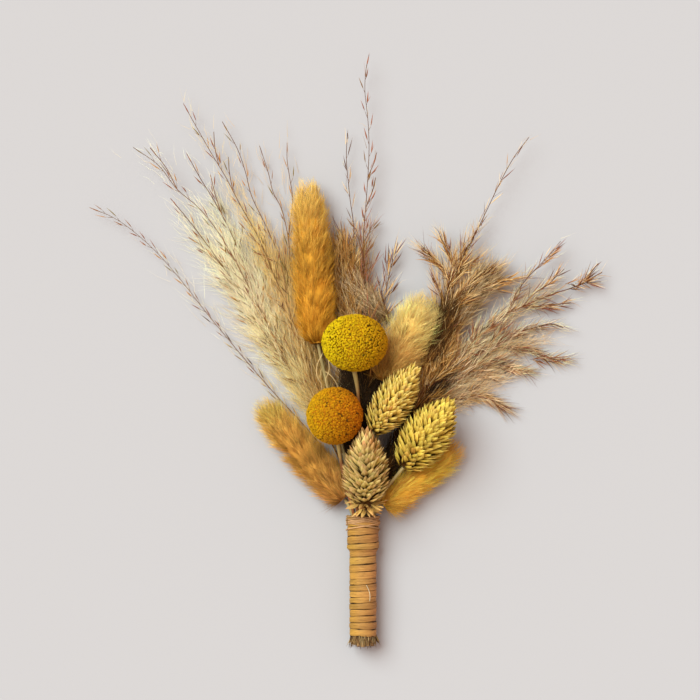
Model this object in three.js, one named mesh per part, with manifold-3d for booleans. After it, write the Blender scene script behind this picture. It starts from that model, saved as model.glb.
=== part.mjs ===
// A tied bunch of dried grasses and flowers, lying on a flat surface. Millimetres, +Z up.
// It is laid out from the mouth of the raffia binding: +X is right, +Y runs from the cut
// stem ends to the tips, and z = 0 is the surface. At the end the whole bunch is moved so
// that its origin is the middle of its bounding box's underside.
import * as THREE from 'three';
import { mergeVertices } from 'three/addons/utils/BufferGeometryUtils.js';
import Module from 'manifold-3d';

const wasm = await Module();
wasm.setup();

// ---- Driving dimensions ----

const GAP = 0.3; // left between pieces that touch
const SEAT_GAP = 0.45; // between a stem's end and its head

const HANDLE_HEIGHT = 5.1; // axis of the tied stems, above the surface
const STEM_RADIUS = 0.66;
const STEM_SPACING = 1.7; // between neighbouring stems in the binding
const CENTRE = 0;
const INNER = 1; // rings of the packed stems, in stem spacings
const OUTER = 1.932;
const MOUTH_SPREAD = 1.15; // the stems spread by this much at the mouth

const BINDING_LENGTH = 43.5;
const BINDING_TURNS = 16;
const BINDING_RADIUS = 4.85;
const BORE_RADIUS = 4.35;
const THICK_LENGTH = 12.4; // the upper turns lie over a first layer
const THICK_RADIUS = 5.7;
const MOUTH_BORE_RADIUS = 5.1;
const TURN_RELIEF = 0.14;
const TURN_SLANT = 0.5;
const CUT_END_SHORTEST = 2.6; // stem ends showing below the binding
const CUT_END_LONGEST = 3.9;
const BINDING_SIDES = 10;
const BARE_LENGTH = 10; // a spray's stalk thins from here on
const THINNING_LENGTH = 60;

const SPIKELET_LENGTH = 4.2;
const SPIKELET_RADIUS = 0.52;
const SPIKELET_PITCH = 5.6; // along a stalk, on alternate sides
const SPIKELET_LEAN = 0.52; // radians from its stalk
const SPIKELET_ROLL = 1.8; // radians, the spread of their sides round the stalk
const SPIKELET_WIDEST = 0.6; // part of its length
const TIP_OVERHANG = 0.8; // of the last spikelet, past the end of its stalk
const STALK_TIP_RADIUS = 0.42;
const SIDE_STALK_RADIUS = 0.42;
const STALK_SIDES = 4;
const SIDE_STALK_SIDES = 3;

const HAIR_ROOT_RADIUS = 0.55;
const HAIR_LEAN_LOW = 0.775; // radians from the tail's axis, at its base
const HAIR_LEAN_HIGH = 0.465; // and at its tip
const HAIR_WIDTH = 0.2; // room kept for a hair's outer part
const HAIR_REACH = 0.2; // longest hair, in parts of the tail's length
const TAIL_CORE = 0.7; // core radius in parts of the whole
const CORE_SIDES = 8;
const CORE_LENGTH = 0.97; // in parts of the head's

const SCALE_LENGTH = 6.8;
const SCALE_WIDTH = 4.4;
const SCALE_THICKNESS = 1.3;
const SCALE_WIDEST = 0.55; // part of its length
const SCALE_OVERLAP = 0.17; // how far up the head a scale's tip reaches, in parts of its length
const SCALE_RISE = 0.62; // of a scale's length, along the head
const SMALLEST_SCALE = 0.75; // in parts of the largest
const SCALE_CLOSING = 0.55; // how closely scales follow the narrowing of the head
const SCALE_ROOM = 0.3; // room kept round a scale's midline
const GRAIN_CORE = 0.74;

const FLORET_COUNT = 75;
const FLORET_HEIGHT = 0.55;
const BUTTON_DETAIL = 5; // subdivisions of the ball
const FLORET_EDGE = 1.6; // how early a floret's dip reaches its full depth
const SEAT_WIDTH = 6; // flat cut in a button for its stem
const SEAT_DEPTH = 0.2;

const COLOURS = {
  raffia: '#c79a62',
  stem: '#a08a52',
  canary: '#d9cf98',
  button: '#d2a51c',
  buttonDeep: '#c98a1e',
  tail: '#d3a257',
  strawSpray: '#b9a47c',
  brownSpray: '#97795a',
};

const GOLDEN_ANGLE = Math.PI * (3 - Math.sqrt(5));

// Widths along a head, from base to tip, as [part of its length, part of its radius].
const TAIL_PROFILE = [[0, 0.26], [0.05, 0.5], [0.15, 0.82], [0.35, 1], [0.62, 1], [0.82, 0.84],
  [0.94, 0.52], [1, 0.16]];
const CANARY_PROFILE = [[0, 0.3], [0.08, 0.62], [0.2, 0.9], [0.38, 1], [0.6, 0.94], [0.76, 0.74],
  [0.9, 0.44], [1, 0.12]];

// ---- The bunch, plant by plant: heads from base to tip, stems from the binding's mouth ----

const CANARY_HEADS = [
  { name: 'canary_grass_low', base: [0.9, 3, 11], tip: [1, 30.4, 19.6], radius: 7.6, scales: 46,
    held: [OUTER, 90], route: [[0.3, 0.8, 9.1]] },
  { name: 'canary_grass_mid', base: [4, 31, 14.2], tip: [18.7, 53.3, 17.4], radius: 6.8, scales: 42,
    held: [OUTER, 60], route: [[3.3, 8, 5.8], [3.4, 15, 6.5], [3.3, 22, 9], [3.7, 28.5, 13]] },
  { name: 'canary_grass_right', base: [14.8, 18, 13], tip: [31, 40.7, 17], radius: 8.3, scales: 48,
    held: [OUTER, 30], route: [[6.8, 8, 7.2], [10.4, 12.6, 10.3]] },
];

const BILLY_BUTTONS = [
  { name: 'billy_button_upper', centre: [-3, 62.3, 20.4], radii: [12, 10.4, 10.8],
    colour: COLOURS.button, held: [OUTER, 120], attach: [-0.04, -0.86, -0.5],
    route: [[-2.3, 8, 6.2], [-1.6, 15, 6.4], [-1.2, 25, 7.6], [-1.3, 36, 8.8], [-2, 46, 11.4]] },
  { name: 'billy_button_lower', centre: [-10.2, 36.2, 17.4], radii: [10.3, 10.5, 10.3],
    colour: COLOURS.buttonDeep, held: [OUTER, 150], attach: [0.1, -0.88, -0.46],
    route: [[-5.2, 8, 7.5], [-7.2, 16, 9]] },
];

const BUNNY_TAILS = [
  { name: 'bunny_tail_tall', base: [-16.2, 62.3, 6.9], tip: [-20.2, 121.7, 6.3], radius: 7.4,
    hairs: 80, held: [INNER, 135],
    route: [[-4.4, 8, 5], [-5.6, 16, 5.6], [-9.4, 34, 4.8], [-13.6, 50, 5.6]] },
  { name: 'bunny_tail_upper_right', base: [8.4, 48, 6.2], tip: [24.1, 80.6, 7.6], radius: 7.3,
    hairs: 58, held: [INNER, 315],
    route: [[2.4, 8, 3.6], [3.6, 16, 3.8], [5.6, 32, 4.4]] },
  { name: 'bunny_tail_lower_left', base: [-6.8, 6.2, 4.1], tip: [-38.5, 42.1, 3.9], radius: 6.4,
    hairs: 70, held: [OUTER, 180], route: [[-4.7, 2.6, 4.6]] },
  { name: 'bunny_tail_lower_right', base: [7.5, 3.6, 4.5], tip: [36.7, 26.3, 4.3], radius: 5.2,
    hairs: 56, held: [OUTER, 0], route: [[4.3, 0.9, 5], [5.6, 2.3, 4.8]] },
];

// Each spray has a main stalk and side stalks that start on it. Spikelets begin at `bare`.
const SPRAYS = [
  { name: 'spray_left_1', colour: COLOURS.strawSpray, held: [OUTER, 210], bare: 48,
    stalk: [[-5.6, 8, 1.5], [-8.6, 15.5, 1.3], [-18.6, 29.3, 1.3], [-31.6, 43.6, 1.8],
      [-43.2, 57, 2.6], [-57.6, 74.5, 3.2], [-66.6, 86, 3.6], [-76.7, 97.2, 4],
      [-88.9, 106.9, 4.4], [-98.6, 111.2, 4.8]],
    side: [] },
  { name: 'spray_left_2', colour: COLOURS.strawSpray, held: [OUTER, 240], bare: 56,
    stalk: [[-4, 8, 1.5], [-6.5, 16, 1.6], [-15.6, 34, 2], [-25, 50, 2.4], [-29.9, 57.2, 2.6],
      [-38.9, 72.7, 3], [-50.4, 89.6, 3.6], [-62.3, 105.8, 4.2], [-69.5, 114.5, 4.6]],
    side: [
      [[-25, 50, 2.4], [-32, 64, 4], [-39.5, 79, 5.2], [-46.4, 92.5, 6], [-52.9, 103.3, 6.4],
        [-59.4, 111.2, 6.6], [-67, 117.7, 6.8], [-73.8, 126.4, 7], [-82.8, 132.8, 7.2]],
      [[-67, 117.7, 6.8], [-71, 125.5, 7.6], [-76.7, 132.6, 8.4]],
      [[-50.4, 89.6, 3.6], [-57, 96.5, 3], [-63, 100.5, 2.8]],
      [[-42, 77.6, 3.1], [-47.6, 82.4, 2.6], [-52, 84.4, 2.4]],
      [[-34.5, 65.3, 2.8], [-40, 69.6, 2.2], [-45, 72.4, 2]],
      [[-29.9, 57.2, 2.6], [-35, 60.8, 1.9], [-39, 63, 1.6]],
    ] },
  { name: 'spray_left_3', colour: COLOURS.strawSpray, held: [INNER, 255], bare: 60,
    stalk: [[-2.3, 8, 1.6], [-4.5, 16, 2], [-13, 34, 3.4], [-21.6, 50, 3.6], [-33.1, 73.8, 2.2],
      [-38.2, 83.2, 2], [-43.9, 93.2, 2.2], [-48.2, 103.3, 2.4], [-54, 114.1, 2.8],
      [-58.7, 121.7, 3.2], [-63.7, 130.7, 3.8]],
    side: [
      [[-51, 108.6, 2.6], [-53.4, 116, 3.6], [-55.1, 123, 4.4]],
      [[-33.1, 73.8, 2.2], [-34.6, 80, 1.6], [-37.6, 90, 1.4]],
    ] },
  { name: 'spray_left_4', colour: COLOURS.strawSpray, held: [INNER, 195], bare: 70,
    stalk: [[-3.1, 8, 3.3], [-5.2, 16, 3.8], [-11.6, 34, 4.6], [-19.8, 55, 4.8], [-27.5, 76, 4.6],
      [-31, 84, 4.4], [-37.8, 100.4, 4], [-44.6, 112.7, 4.2], [-49.3, 121.7, 4.4],
      [-55.1, 131.4, 4.8], [-59.8, 139.7, 5.2], [-64.8, 148.7, 5.6]],
    side: [
      [[-46.9, 117, 4.3], [-48.2, 124, 5.2], [-48.6, 129.4, 6]],
      [[-52, 126.2, 4.6], [-53.4, 132.6, 5.6], [-53.8, 138.4, 6.4]],
    ] },
  { name: 'spray_left_5', colour: COLOURS.strawSpray, held: [CENTRE, 0], bare: 84,
    stalk: [[-1.2, 8, 3.2], [-3, 16, 3.7], [-9.2, 34, 2.8], [-15.6, 55, 2.4], [-19.6, 66, 2.2],
      [-23.2, 76, 2.2], [-25, 81.7, 2.4], [-29.9, 93.2, 2.8], [-35.3, 105.1, 3],
      [-40.3, 115.6, 3.2], [-42.5, 124.2, 3.6], [-45.4, 132.5, 4.2], [-50.8, 142.2, 5]],
    side: [
      [[-25, 81.7, 2.4], [-26.2, 90, 2], [-27, 100.1, 2], [-29.6, 111.2, 2.2], [-32.4, 116.6, 2.4],
        [-34.2, 123.8, 2.8], [-37.4, 133.6, 3.4]],
      [[-27, 100.1, 2], [-26, 108, 2], [-25.4, 114.5, 2.4], [-26.6, 122.8, 3], [-27.4, 128.5, 3.6],
        [-27.4, 134.6, 4.2]],
    ] },
  { name: 'spray_middle_1', colour: COLOURS.brownSpray, held: [INNER, 75], bare: 78,
    stalk: [[0.3, 8, 4.8], [0.6, 16, 4.7], [1.2, 34, 4.4], [1.4, 50, 4.2], [1, 62, 4.2],
      [0.6, 80, 4.2], [0.2, 100.4, 4.6], [1.4, 116.6, 5], [2.2, 132.1, 5.6], [1.8, 142.6, 6],
      [0.7, 153.4, 6.4], [1.1, 160.9, 6.8], [2.2, 166.3, 7]],
    side: [
      [[1.7, 122, 5.2], [4, 127.4, 5.8], [5, 131, 6.2]],
      [[1.4, 112, 4.9], [3.6, 117.6, 4.6], [4.6, 122, 4.6]],
    ] },
  { name: 'spray_middle_2', colour: COLOURS.brownSpray, held: [OUTER, 270], bare: 66,
    stalk: [[0.2, 8, 1.6], [0, 16, 1.7], [-1.8, 34, 1.8], [-2.6, 50, 1.8], [-2.8, 62, 1.8],
      [-2.7, 80, 2.2], [-3.4, 105.1, 2.8], [-4.6, 113.8, 3], [-5.2, 119.5, 3.2],
      [-6, 129.2, 3.6], [-5.6, 138.2, 4]],
    side: [
      [[-2.7, 80, 2.2], [-5, 88.2, 2.2], [-7.2, 97.9, 2.6], [-8.4, 104, 3]],
      [[-2.6, 50, 1.8], [1.4, 59, 1.6], [4.8, 66, 2], [7.2, 72.4, 2.4], [8.6, 82.1, 2.8],
        [10.4, 90.7, 3.4], [12.6, 98.6, 4]],
      [[7.2, 72.4, 2.4], [3.4, 78, 1.8], [-2.6, 84.6, 1.8]],
    ] },
  { name: 'spray_right_1', colour: COLOURS.brownSpray, held: [INNER, 15], bare: 62,
    stalk: [[4.8, 8, 4.4], [9.4, 18, 4.6], [18.6, 36, 4.8], [25.6, 52, 5], [28.6, 67, 5.4],
      [30.4, 81.4, 5.8], [34.9, 91.1, 6.2], [40.3, 101.2, 6.4], [45, 110.9, 6.6],
      [49.3, 119.9, 6.8], [54.4, 129.2, 7.2], [59.8, 136.4, 7.6]],
    side: [
      [[31.6, 84.8, 5.9], [26.6, 91.4, 6.4], [21.2, 95.8, 7]],
      [[34, 89.2, 6.1], [30.6, 95.4, 6.8], [27.8, 101, 7.4]],
      [[28.9, 71.5, 5.5], [36, 79.4, 6.2], [42.4, 85.6, 6.8], [48.2, 89.4, 7.2]],
      [[36, 79.4, 6.2], [43.4, 82.4, 6.4], [50.6, 84.4, 6.8], [56.9, 85.7, 7.2]],
      [[30.4, 81.4, 5.8], [36.2, 88.6, 5.2], [42.1, 93.6, 5]],
    ] },
  { name: 'spray_right_2', colour: COLOURS.brownSpray, held: [OUTER, 300], bare: 58,
    stalk: [[2.7, 8, 1.7], [8.2, 18, 2.3], [16.6, 34, 2.8], [22.6, 44.4, 3.2], [30.2, 51.8, 3.4],
      [36.7, 59.4, 3.6], [44.3, 67.6, 3.8], [49.4, 71.5, 4], [55.1, 74.2, 4.2],
      [62, 77.4, 3.9], [69.8, 80.4, 3.9], [76, 82.4, 4], [86.4, 87.8, 4.4]],
    side: [
      [[52, 72.8, 4.1], [55.6, 80.6, 4.8], [59.6, 86, 5.2], [66.6, 93.4, 6], [71.3, 99, 6.4]],
      [[57.4, 75.2, 4.1], [61.6, 79.8, 5], [67.3, 84, 5.4], [72.7, 89, 5.8]],
      [[58.5, 75.8, 4], [64.8, 75.4, 3.2], [75.2, 77, 3]],
    ] },
  { name: 'spray_right_3', colour: COLOURS.brownSpray, held: [OUTER, 330], bare: 44,
    stalk: [[5, 8, 2.3], [11, 18, 1.9], [19.5, 31.6, 2], [26.5, 41.6, 2.1], [33.4, 47.8, 2.2],
      [39.4, 54, 2.2], [43.6, 59, 2.2], [49.4, 63.6, 2.3], [54.7, 65.8, 2.4], [63, 68, 2.6],
      [68, 69.2, 2.8], [72.4, 67.9, 3]],
    side: [
      [[43.6, 59, 2.2], [50.8, 61.6, 1.7], [58.3, 60.4, 1.7], [68.8, 56.4, 2], [73.4, 56.2, 2.2]],
      [[33.4, 47.8, 2.2], [39.4, 50.8, 1.7], [49, 53.6, 1.6], [59.8, 51.8, 2]],
      [[26.5, 41.6, 2.1], [35.3, 42.6, 1.7], [42.5, 43, 1.7], [50.8, 39.2, 2]],
    ] },
];

// ---- Small helpers ----

const vector = (xyz) => new THREE.Vector3(...xyz);
const mix = THREE.MathUtils.lerp;

// Seeded random numbers from 0 to 1, the same on every run.
function seeded(name) {
  let state = [...name].reduce((sum, letter) => Math.imul(sum, 31) + letter.charCodeAt(0), 7);
  return () => {
    state = Math.imul(state ^ (state >>> 15), 0x2c1b3c6d) + 0x9e3779b9;
    state = Math.imul(state ^ (state >>> 13), 0x297a2d39);
    return ((state ^ (state >>> 16)) >>> 0) / 2 ** 32;
  };
}

// A factor that varies round 1.
const varied = (random, spread) => mix(1 - spread, 1 + spread, random());

// Value of a list of [place, value] pairs at a place, with straight lines between them.
function profileAt(profile, place) {
  const next = profile.findIndex(([at]) => at >= place);
  if (next <= 0) return profile[next === 0 ? 0 : profile.length - 1][1];
  const [[from, low], [to, high]] = [profile[next - 1], profile[next]];
  return mix(low, high, (place - from) / (to - from));
}

// Places along a profile that share its surface evenly.
function evenPlaces(profile, count) {
  const steps = 400;
  const sums = [0];
  for (let i = 0; i < steps; i++) sums.push(sums[i] + profileAt(profile, (i + 0.5) / steps));
  return Array.from({ length: count }, (_, i) => {
    const wanted = sums[steps] * (i + 0.5) / count;
    return sums.findIndex((sum) => sum >= wanted) / steps;
  });
}

// ---- Geometry: lofts of rings, and joining and cutting ----

// A closed geometry through rings of points; a ring of one point is a tip.
function loft(rings, closedLoop = false) {
  const points = rings.flat();
  const starts = [];
  rings.reduce((start, ring) => (starts.push(start), start + ring.length), 0);
  const faces = [];
  const join = (a, b) => {
    const sides = Math.max(rings[a].length, rings[b].length);
    for (let i = 0; i < sides; i++) {
      const next = (i + 1) % sides;
      if (rings[a].length === 1) faces.push(starts[a], starts[b] + next, starts[b] + i);
      else if (rings[b].length === 1) faces.push(starts[a] + i, starts[a] + next, starts[b]);
      else {
        faces.push(starts[a] + i, starts[a] + next, starts[b] + next);
        faces.push(starts[a] + i, starts[b] + next, starts[b] + i);
      }
    }
  };
  for (let k = 0; k + 1 < rings.length; k++) join(k, k + 1);
  const last = rings.length - 1;
  if (closedLoop) join(last, 0);
  else {
    for (let i = 1; i + 1 < rings[0].length; i++) {
      faces.push(starts[0], starts[0] + i + 1, starts[0] + i);
    }
    for (let i = 1; i + 1 < rings[last].length; i++) {
      faces.push(starts[last], starts[last] + i, starts[last] + i + 1);
    }
  }
  const places = points.flatMap((point) => point.toArray());
  const geometry = new THREE.BufferGeometry();
  geometry.setAttribute('position', new THREE.Float32BufferAttribute(places, 3));
  geometry.setIndex(faces);
  return geometry;
}

// A ring of points round a centre, in the plane of two unit vectors.
function ring(centre, across, up, radius, sides, turn = 0) {
  return Array.from({ length: sides }, (_, i) => {
    const angle = turn + 2 * Math.PI * i / sides;
    return centre.clone().addScaledVector(across, radius * Math.cos(angle))
      .addScaledVector(up, radius * Math.sin(angle));
  });
}

// A straight-sided path through points, measured by length.
function pathThrough(points) {
  const path = new THREE.CurvePath();
  for (let i = 0; i + 1 < points.length; i++) {
    path.add(new THREE.LineCurve3(points[i], points[i + 1]));
  }
  return path;
}

// A solid rod through points, with a radius for each of them.
function rod(points, sides, radiusAt) {
  let [across] = crossAxes(points[1].clone().sub(points[0]).normalize());
  return loft(points.map((point, i) => {
    const behind = points[Math.max(i - 1, 0)];
    const ahead = points[Math.min(i + 1, points.length - 1)];
    const along = ahead.clone().sub(behind).normalize();
    across = across.clone().projectOnPlane(along).normalize();
    return ring(point, across, along.clone().cross(across), radiusAt(point), sides);
  }));
}

// Two unit vectors square to a direction.
function crossAxes(direction) {
  const upright = Math.abs(direction.z) > 0.9;
  const helper = new THREE.Vector3(upright ? 1 : 0, 0, upright ? 0 : 1);
  const across = helper.cross(direction).normalize();
  return [across, direction.clone().cross(across)];
}

// A three-sided spindle from root to tip, widest part of the way along.
function spindle(root, tip, radius, widestAt) {
  const direction = tip.clone().sub(root).normalize();
  const [across, up] = crossAxes(direction);
  return loft([[root], ring(root.clone().lerp(tip, widestAt), across, up, radius, 3), [tip]]);
}

// A three-sided needle that starts wide at its root.
function needle(root, tip, radius) {
  const direction = tip.clone().sub(root).normalize();
  const [across, up] = crossAxes(direction);
  return loft([ring(root, across, up, radius, 3), [tip]]);
}

function toSolid(geometry) {
  const bare = geometry.clone();
  Object.keys(bare.attributes).filter((name) => name !== 'position')
    .forEach((name) => bare.deleteAttribute(name));
  const merged = mergeVertices(bare, 1e-4);
  return new wasm.Manifold(new wasm.Mesh({
    numProp: 3,
    vertProperties: merged.attributes.position.array,
    triVerts: merged.index.array,
  }));
}

function toGeometry(solid) {
  const mesh = solid.getMesh();
  const geometry = new THREE.BufferGeometry();
  geometry.setAttribute('position', new THREE.BufferAttribute(mesh.vertProperties, 3));
  geometry.setIndex(new THREE.BufferAttribute(mesh.triVerts, 1));
  geometry.computeVertexNormals();
  return geometry;
}

// Fuses a core and its repeats, flattens what would reach below the surface, and drops
// any scrap that the core doesn't hold.
function fuse(geometries) {
  const belowSurface = toSolid(new THREE.BoxGeometry(400, 400, 20).translate(0, 0, -10));
  const joined = geometries.map(toSolid).reduce((whole, piece) => whole.add(piece));
  const pieces = joined.subtract(belowSurface).decompose();
  pieces.sort((a, b) => b.volume() - a.volume());
  return toGeometry(pieces[0]);
}

// ---- Room that each plant takes, so that no repeat crosses a neighbour ----

const taken = [];

function take(owner, from, to, radius) {
  taken.push({ owner, line: new THREE.Line3(from, to), radius });
}

function isClear(owner, from, to, radius) {
  const nearest = new THREE.Vector3();
  return [0.2, 0.4, 0.6, 0.8, 1].every((place) => {
    const point = from.clone().lerp(to, place);
    return taken.every((other) => other.owner === owner
      || other.line.closestPointToPoint(point, true, nearest).distanceTo(point)
        > other.radius + radius + GAP);
  });
}

function takePath(owner, points, radius) {
  for (let i = 0; i + 1 < points.length; i++) take(owner, points[i], points[i + 1], radius);
}

function takeHead(plant, profile) {
  const [base, tip] = [vector(plant.base), vector(plant.tip)];
  const pieces = 10;
  for (let i = 0; i < pieces; i++) {
    const radius = plant.radius * profileAt(profile, (i + 0.5) / pieces);
    const from = base.clone().lerp(tip, i / pieces);
    take(plant.name, from, base.clone().lerp(tip, (i + 1) / pieces), radius);
  }
}

// ---- Stems ----

// Where a stem lies in the packed bundle: a ring and an angle, at a distance along the handle.
function inBundle([packing, degrees], y) {
  const spread = mix(1, MOUTH_SPREAD, THREE.MathUtils.clamp(1 + y / THICK_LENGTH, 0, 1));
  const radius = packing * STEM_SPACING * spread;
  const angle = THREE.MathUtils.degToRad(degrees);
  return new THREE.Vector3(radius * Math.cos(angle), y, HANDLE_HEIGHT + radius * Math.sin(angle));
}

// A stem's points: straight through the binding, then free, with rounded bends if asked.
function stemPoints(plant, free, bendSteps = 1) {
  const cutEnd = -BINDING_LENGTH - mix(CUT_END_SHORTEST, CUT_END_LONGEST, seeded(plant.name)());
  const held = [cutEnd, -THICK_LENGTH, 0].map((y) => inBundle(plant.held, y));
  const points = [...held, ...free];
  const curve = new THREE.CatmullRomCurve3(points, false, 'centripetal');
  return curve.getPoints(bendSteps * (points.length - 1));
}

function stemMesh(plant, end) {
  const points = stemPoints(plant, [...plant.route.map(vector), end], 2);
  return named(`${plant.name}_stem`, rod(points, STALK_SIDES, () => STEM_RADIUS), COLOURS.stem);
}

// ---- Heads ----

function headFrame(plant) {
  const [base, tip] = [vector(plant.base), vector(plant.tip)];
  const direction = tip.clone().sub(base).normalize();
  return { base, tip, direction, axes: crossAxes(direction), length: base.distanceTo(tip) };
}

function headCore(frame, profile, radius, sides) {
  const flatBase = [0, ...profile.slice(1).map(([place]) => place)];
  return loft(flatBase.map((place) => ring(
    frame.base.clone().lerp(frame.tip, place * CORE_LENGTH), ...frame.axes,
    radius * profileAt(profile, place), sides, Math.PI / sides)));
}

// Point on a head at a place along it and an angle round it, and the outward direction there.
function onHead(frame, place, angle, radius) {
  const outward = frame.axes[0].clone().multiplyScalar(Math.cos(angle))
    .addScaledVector(frame.axes[1], Math.sin(angle));
  const point = frame.base.clone().lerp(frame.tip, place).addScaledVector(outward, radius);
  return { outward, point };
}

function bunnyTail(plant) {
  const frame = headFrame(plant);
  const random = seeded(plant.name);
  const pieces = [headCore(frame, TAIL_PROFILE, plant.radius * TAIL_CORE, CORE_SIDES)];
  evenPlaces(TAIL_PROFILE, plant.hairs).forEach((place, i) => {
    const full = plant.radius * profileAt(TAIL_PROFILE, place);
    const rootRadius = full * TAIL_CORE / 2;
    const { outward, point: root } = onHead(frame, place, i * GOLDEN_ANGLE, rootRadius);
    const lean = mix(HAIR_LEAN_LOW, HAIR_LEAN_HIGH, place) * varied(random, 0.15);
    const reach = Math.min((full - rootRadius) / Math.sin(lean), frame.length * HAIR_REACH);
    const tip = root.clone().addScaledVector(outward, reach * Math.sin(lean))
      .addScaledVector(frame.direction, reach * Math.cos(lean));
    if (isClear(plant.name, root.clone().lerp(tip, 0.4), tip, HAIR_WIDTH)) {
      pieces.push(needle(root, tip, HAIR_ROOT_RADIUS));
    }
  });
  const end = frame.base.clone().addScaledVector(frame.direction, -SEAT_GAP);
  return { mesh: named(plant.name, fuse(pieces), COLOURS.tail), end };
}

// A keeled scale: root inside the core, flat below, a keel along its back and a pointed tip.
function keeledScale(root, tip, outward, size) {
  const along = tip.clone().sub(root).normalize();
  const across = along.clone().cross(outward).normalize();
  const face = across.clone().cross(along).normalize();
  const widest = root.clone().lerp(tip, SCALE_WIDEST);
  const rim = [
    widest.clone().addScaledVector(across, SCALE_WIDTH / 2 * size),
    widest.clone().addScaledVector(across, -SCALE_WIDTH / 2 * size),
    widest.clone().addScaledVector(face, SCALE_THICKNESS * size),
  ];
  return loft([[root], rim, [tip]]);
}

function canaryHead(plant) {
  const frame = headFrame(plant);
  const pieces = [headCore(frame, CANARY_PROFILE, plant.radius * GRAIN_CORE, CORE_SIDES)];
  evenPlaces(CANARY_PROFILE, plant.scales).forEach((place, i) => {
    const full = plant.radius * profileAt(CANARY_PROFILE, place);
    const angle = i * GOLDEN_ANGLE;
    const { outward, point: root } = onHead(frame, place * 0.94 - 0.03, angle, full / 2);
    const ahead = plant.radius * profileAt(CANARY_PROFILE, Math.min(place + SCALE_OVERLAP, 1));
    const tip = onHead(frame, place, angle, mix(full, ahead, SCALE_CLOSING)).point
      .addScaledVector(frame.direction, SCALE_LENGTH * SCALE_RISE);
    const size = mix(SMALLEST_SCALE, 1, full / plant.radius) * plant.radius / CANARY_HEADS[0].radius;
    if (isClear(plant.name, root, tip, SCALE_ROOM)) pieces.push(keeledScale(root, tip, outward, size));
  });
  const end = frame.base.clone().addScaledVector(frame.direction, -SEAT_GAP);
  return { mesh: named(plant.name, fuse(pieces), COLOURS.canary), end };
}

// A ball of florets: each spot on it is raised by how near it is to the nearest floret.
function billyButton(plant) {
  const centre = vector(plant.centre);
  const florets = Array.from({ length: FLORET_COUNT }, (_, i) => {
    const height = 1 - 2 * (i + 0.5) / FLORET_COUNT;
    return new THREE.Vector3().setFromCylindricalCoords(
      Math.sqrt(1 - height * height), i * GOLDEN_ANGLE, height);
  });
  const spacing = Math.sqrt(4 * Math.PI / FLORET_COUNT);
  const ball = new THREE.IcosahedronGeometry(1, BUTTON_DETAIL);
  const position = ball.attributes.position;
  const spot = new THREE.Vector3();
  for (let i = 0; i < position.count; i++) {
    spot.fromBufferAttribute(position, i).normalize();
    const nearest = Math.min(...florets.map((floret) => floret.distanceTo(spot)));
    const dip = FLORET_HEIGHT * Math.min(nearest / spacing * FLORET_EDGE, 1) ** 2;
    const raised = spot.clone().multiply(vector(plant.radii)).addScaledVector(spot, -dip);
    position.setXYZ(i, raised.x, raised.y, raised.z);
  }
  const outward = vector(plant.attach).normalize();
  const onSurface = outward.clone().multiply(vector(plant.radii)).length() - FLORET_HEIGHT;
  const seat = new THREE.BoxGeometry(SEAT_WIDTH, SEAT_WIDTH, SEAT_WIDTH)
    .translate(0, 0, onSurface + SEAT_WIDTH / 2 - SEAT_DEPTH);
  const upright = new THREE.Vector3(0, 0, 1);
  seat.applyQuaternion(new THREE.Quaternion().setFromUnitVectors(upright, outward));
  const solid = toSolid(ball).subtract(toSolid(seat));
  const mesh = named(plant.name, toGeometry(solid), plant.colour);
  mesh.position.copy(centre);
  const end = centre.clone().addScaledVector(outward, onSurface - SEAT_DEPTH + GAP);
  return { mesh, end };
}

// ---- Sprays ----

function sprayStalks(plant) {
  const main = stemPoints(plant, plant.stalk.map(vector));
  return [main, ...plant.side.map((points) => points.map(vector))];
}

// A main stalk thins from the binding on, and side stalks are thin all along.
function stalkRadius(point) {
  const thinned = THREE.MathUtils.clamp((point.y - BARE_LENGTH) / THINNING_LENGTH, 0, 1);
  return mix(STEM_RADIUS, STALK_TIP_RADIUS, thinned);
}

// Root and tip of each spikelet along a stalk, on alternate sides.
function spikeletsOn(curve, bare, random) {
  const length = curve.getLength();
  return Array.from({ length: Math.floor(length / SPIKELET_PITCH) }, (_, i) => {
    const place = Math.min((i + 1 + 0.15 * random()) * SPIKELET_PITCH / length, 1);
    const root = curve.getPointAt(place);
    const along = curve.getTangentAt(place);
    const [across, up] = crossAxes(along);
    const roll = (random() - 0.5) * SPIKELET_ROLL;
    const sideways = across.multiplyScalar((i % 2 ? -1 : 1) * Math.cos(roll))
      .addScaledVector(up, Math.sin(roll));
    const lean = SPIKELET_LEAN * varied(random, 0.25);
    const reach = SPIKELET_LENGTH * varied(random, 0.15);
    const tip = root.clone().addScaledVector(along, reach * Math.cos(lean))
      .addScaledVector(sideways, reach * Math.sin(lean));
    return { root, tip, kept: root.y >= bare && length * (1 - place) > reach };
  }).filter(({ kept }) => kept);
}

function endSpikelet(curve) {
  const [end, along] = [curve.getPointAt(1), curve.getTangentAt(1)];
  const root = end.clone().addScaledVector(along, TIP_OVERHANG - SPIKELET_LENGTH);
  const tip = end.clone().addScaledVector(along, TIP_OVERHANG);
  return spindle(root, tip, SPIKELET_RADIUS, SPIKELET_WIDEST);
}

function spray(plant) {
  const random = seeded(plant.name);
  const stalks = sprayStalks(plant);
  const pieces = stalks.map((points, index) => (
    index ? rod(points, SIDE_STALK_SIDES, () => SIDE_STALK_RADIUS)
      : rod(points, STALK_SIDES, stalkRadius)));
  stalks.map(pathThrough).forEach((curve) => {
    spikeletsOn(curve, plant.bare, random)
      .filter(({ root, tip }) => tip.z > SPIKELET_RADIUS
        && isClear(plant.name, root, tip, SPIKELET_RADIUS))
      .forEach(({ root, tip }) => {
        pieces.push(spindle(root, tip, SPIKELET_RADIUS, SPIKELET_WIDEST));
        take(plant.name, root, tip, SPIKELET_RADIUS);
      });
    pieces.push(endSpikelet(curve));
  });
  return named(plant.name, fuse(pieces), plant.colour);
}

// ---- Binding ----

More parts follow.
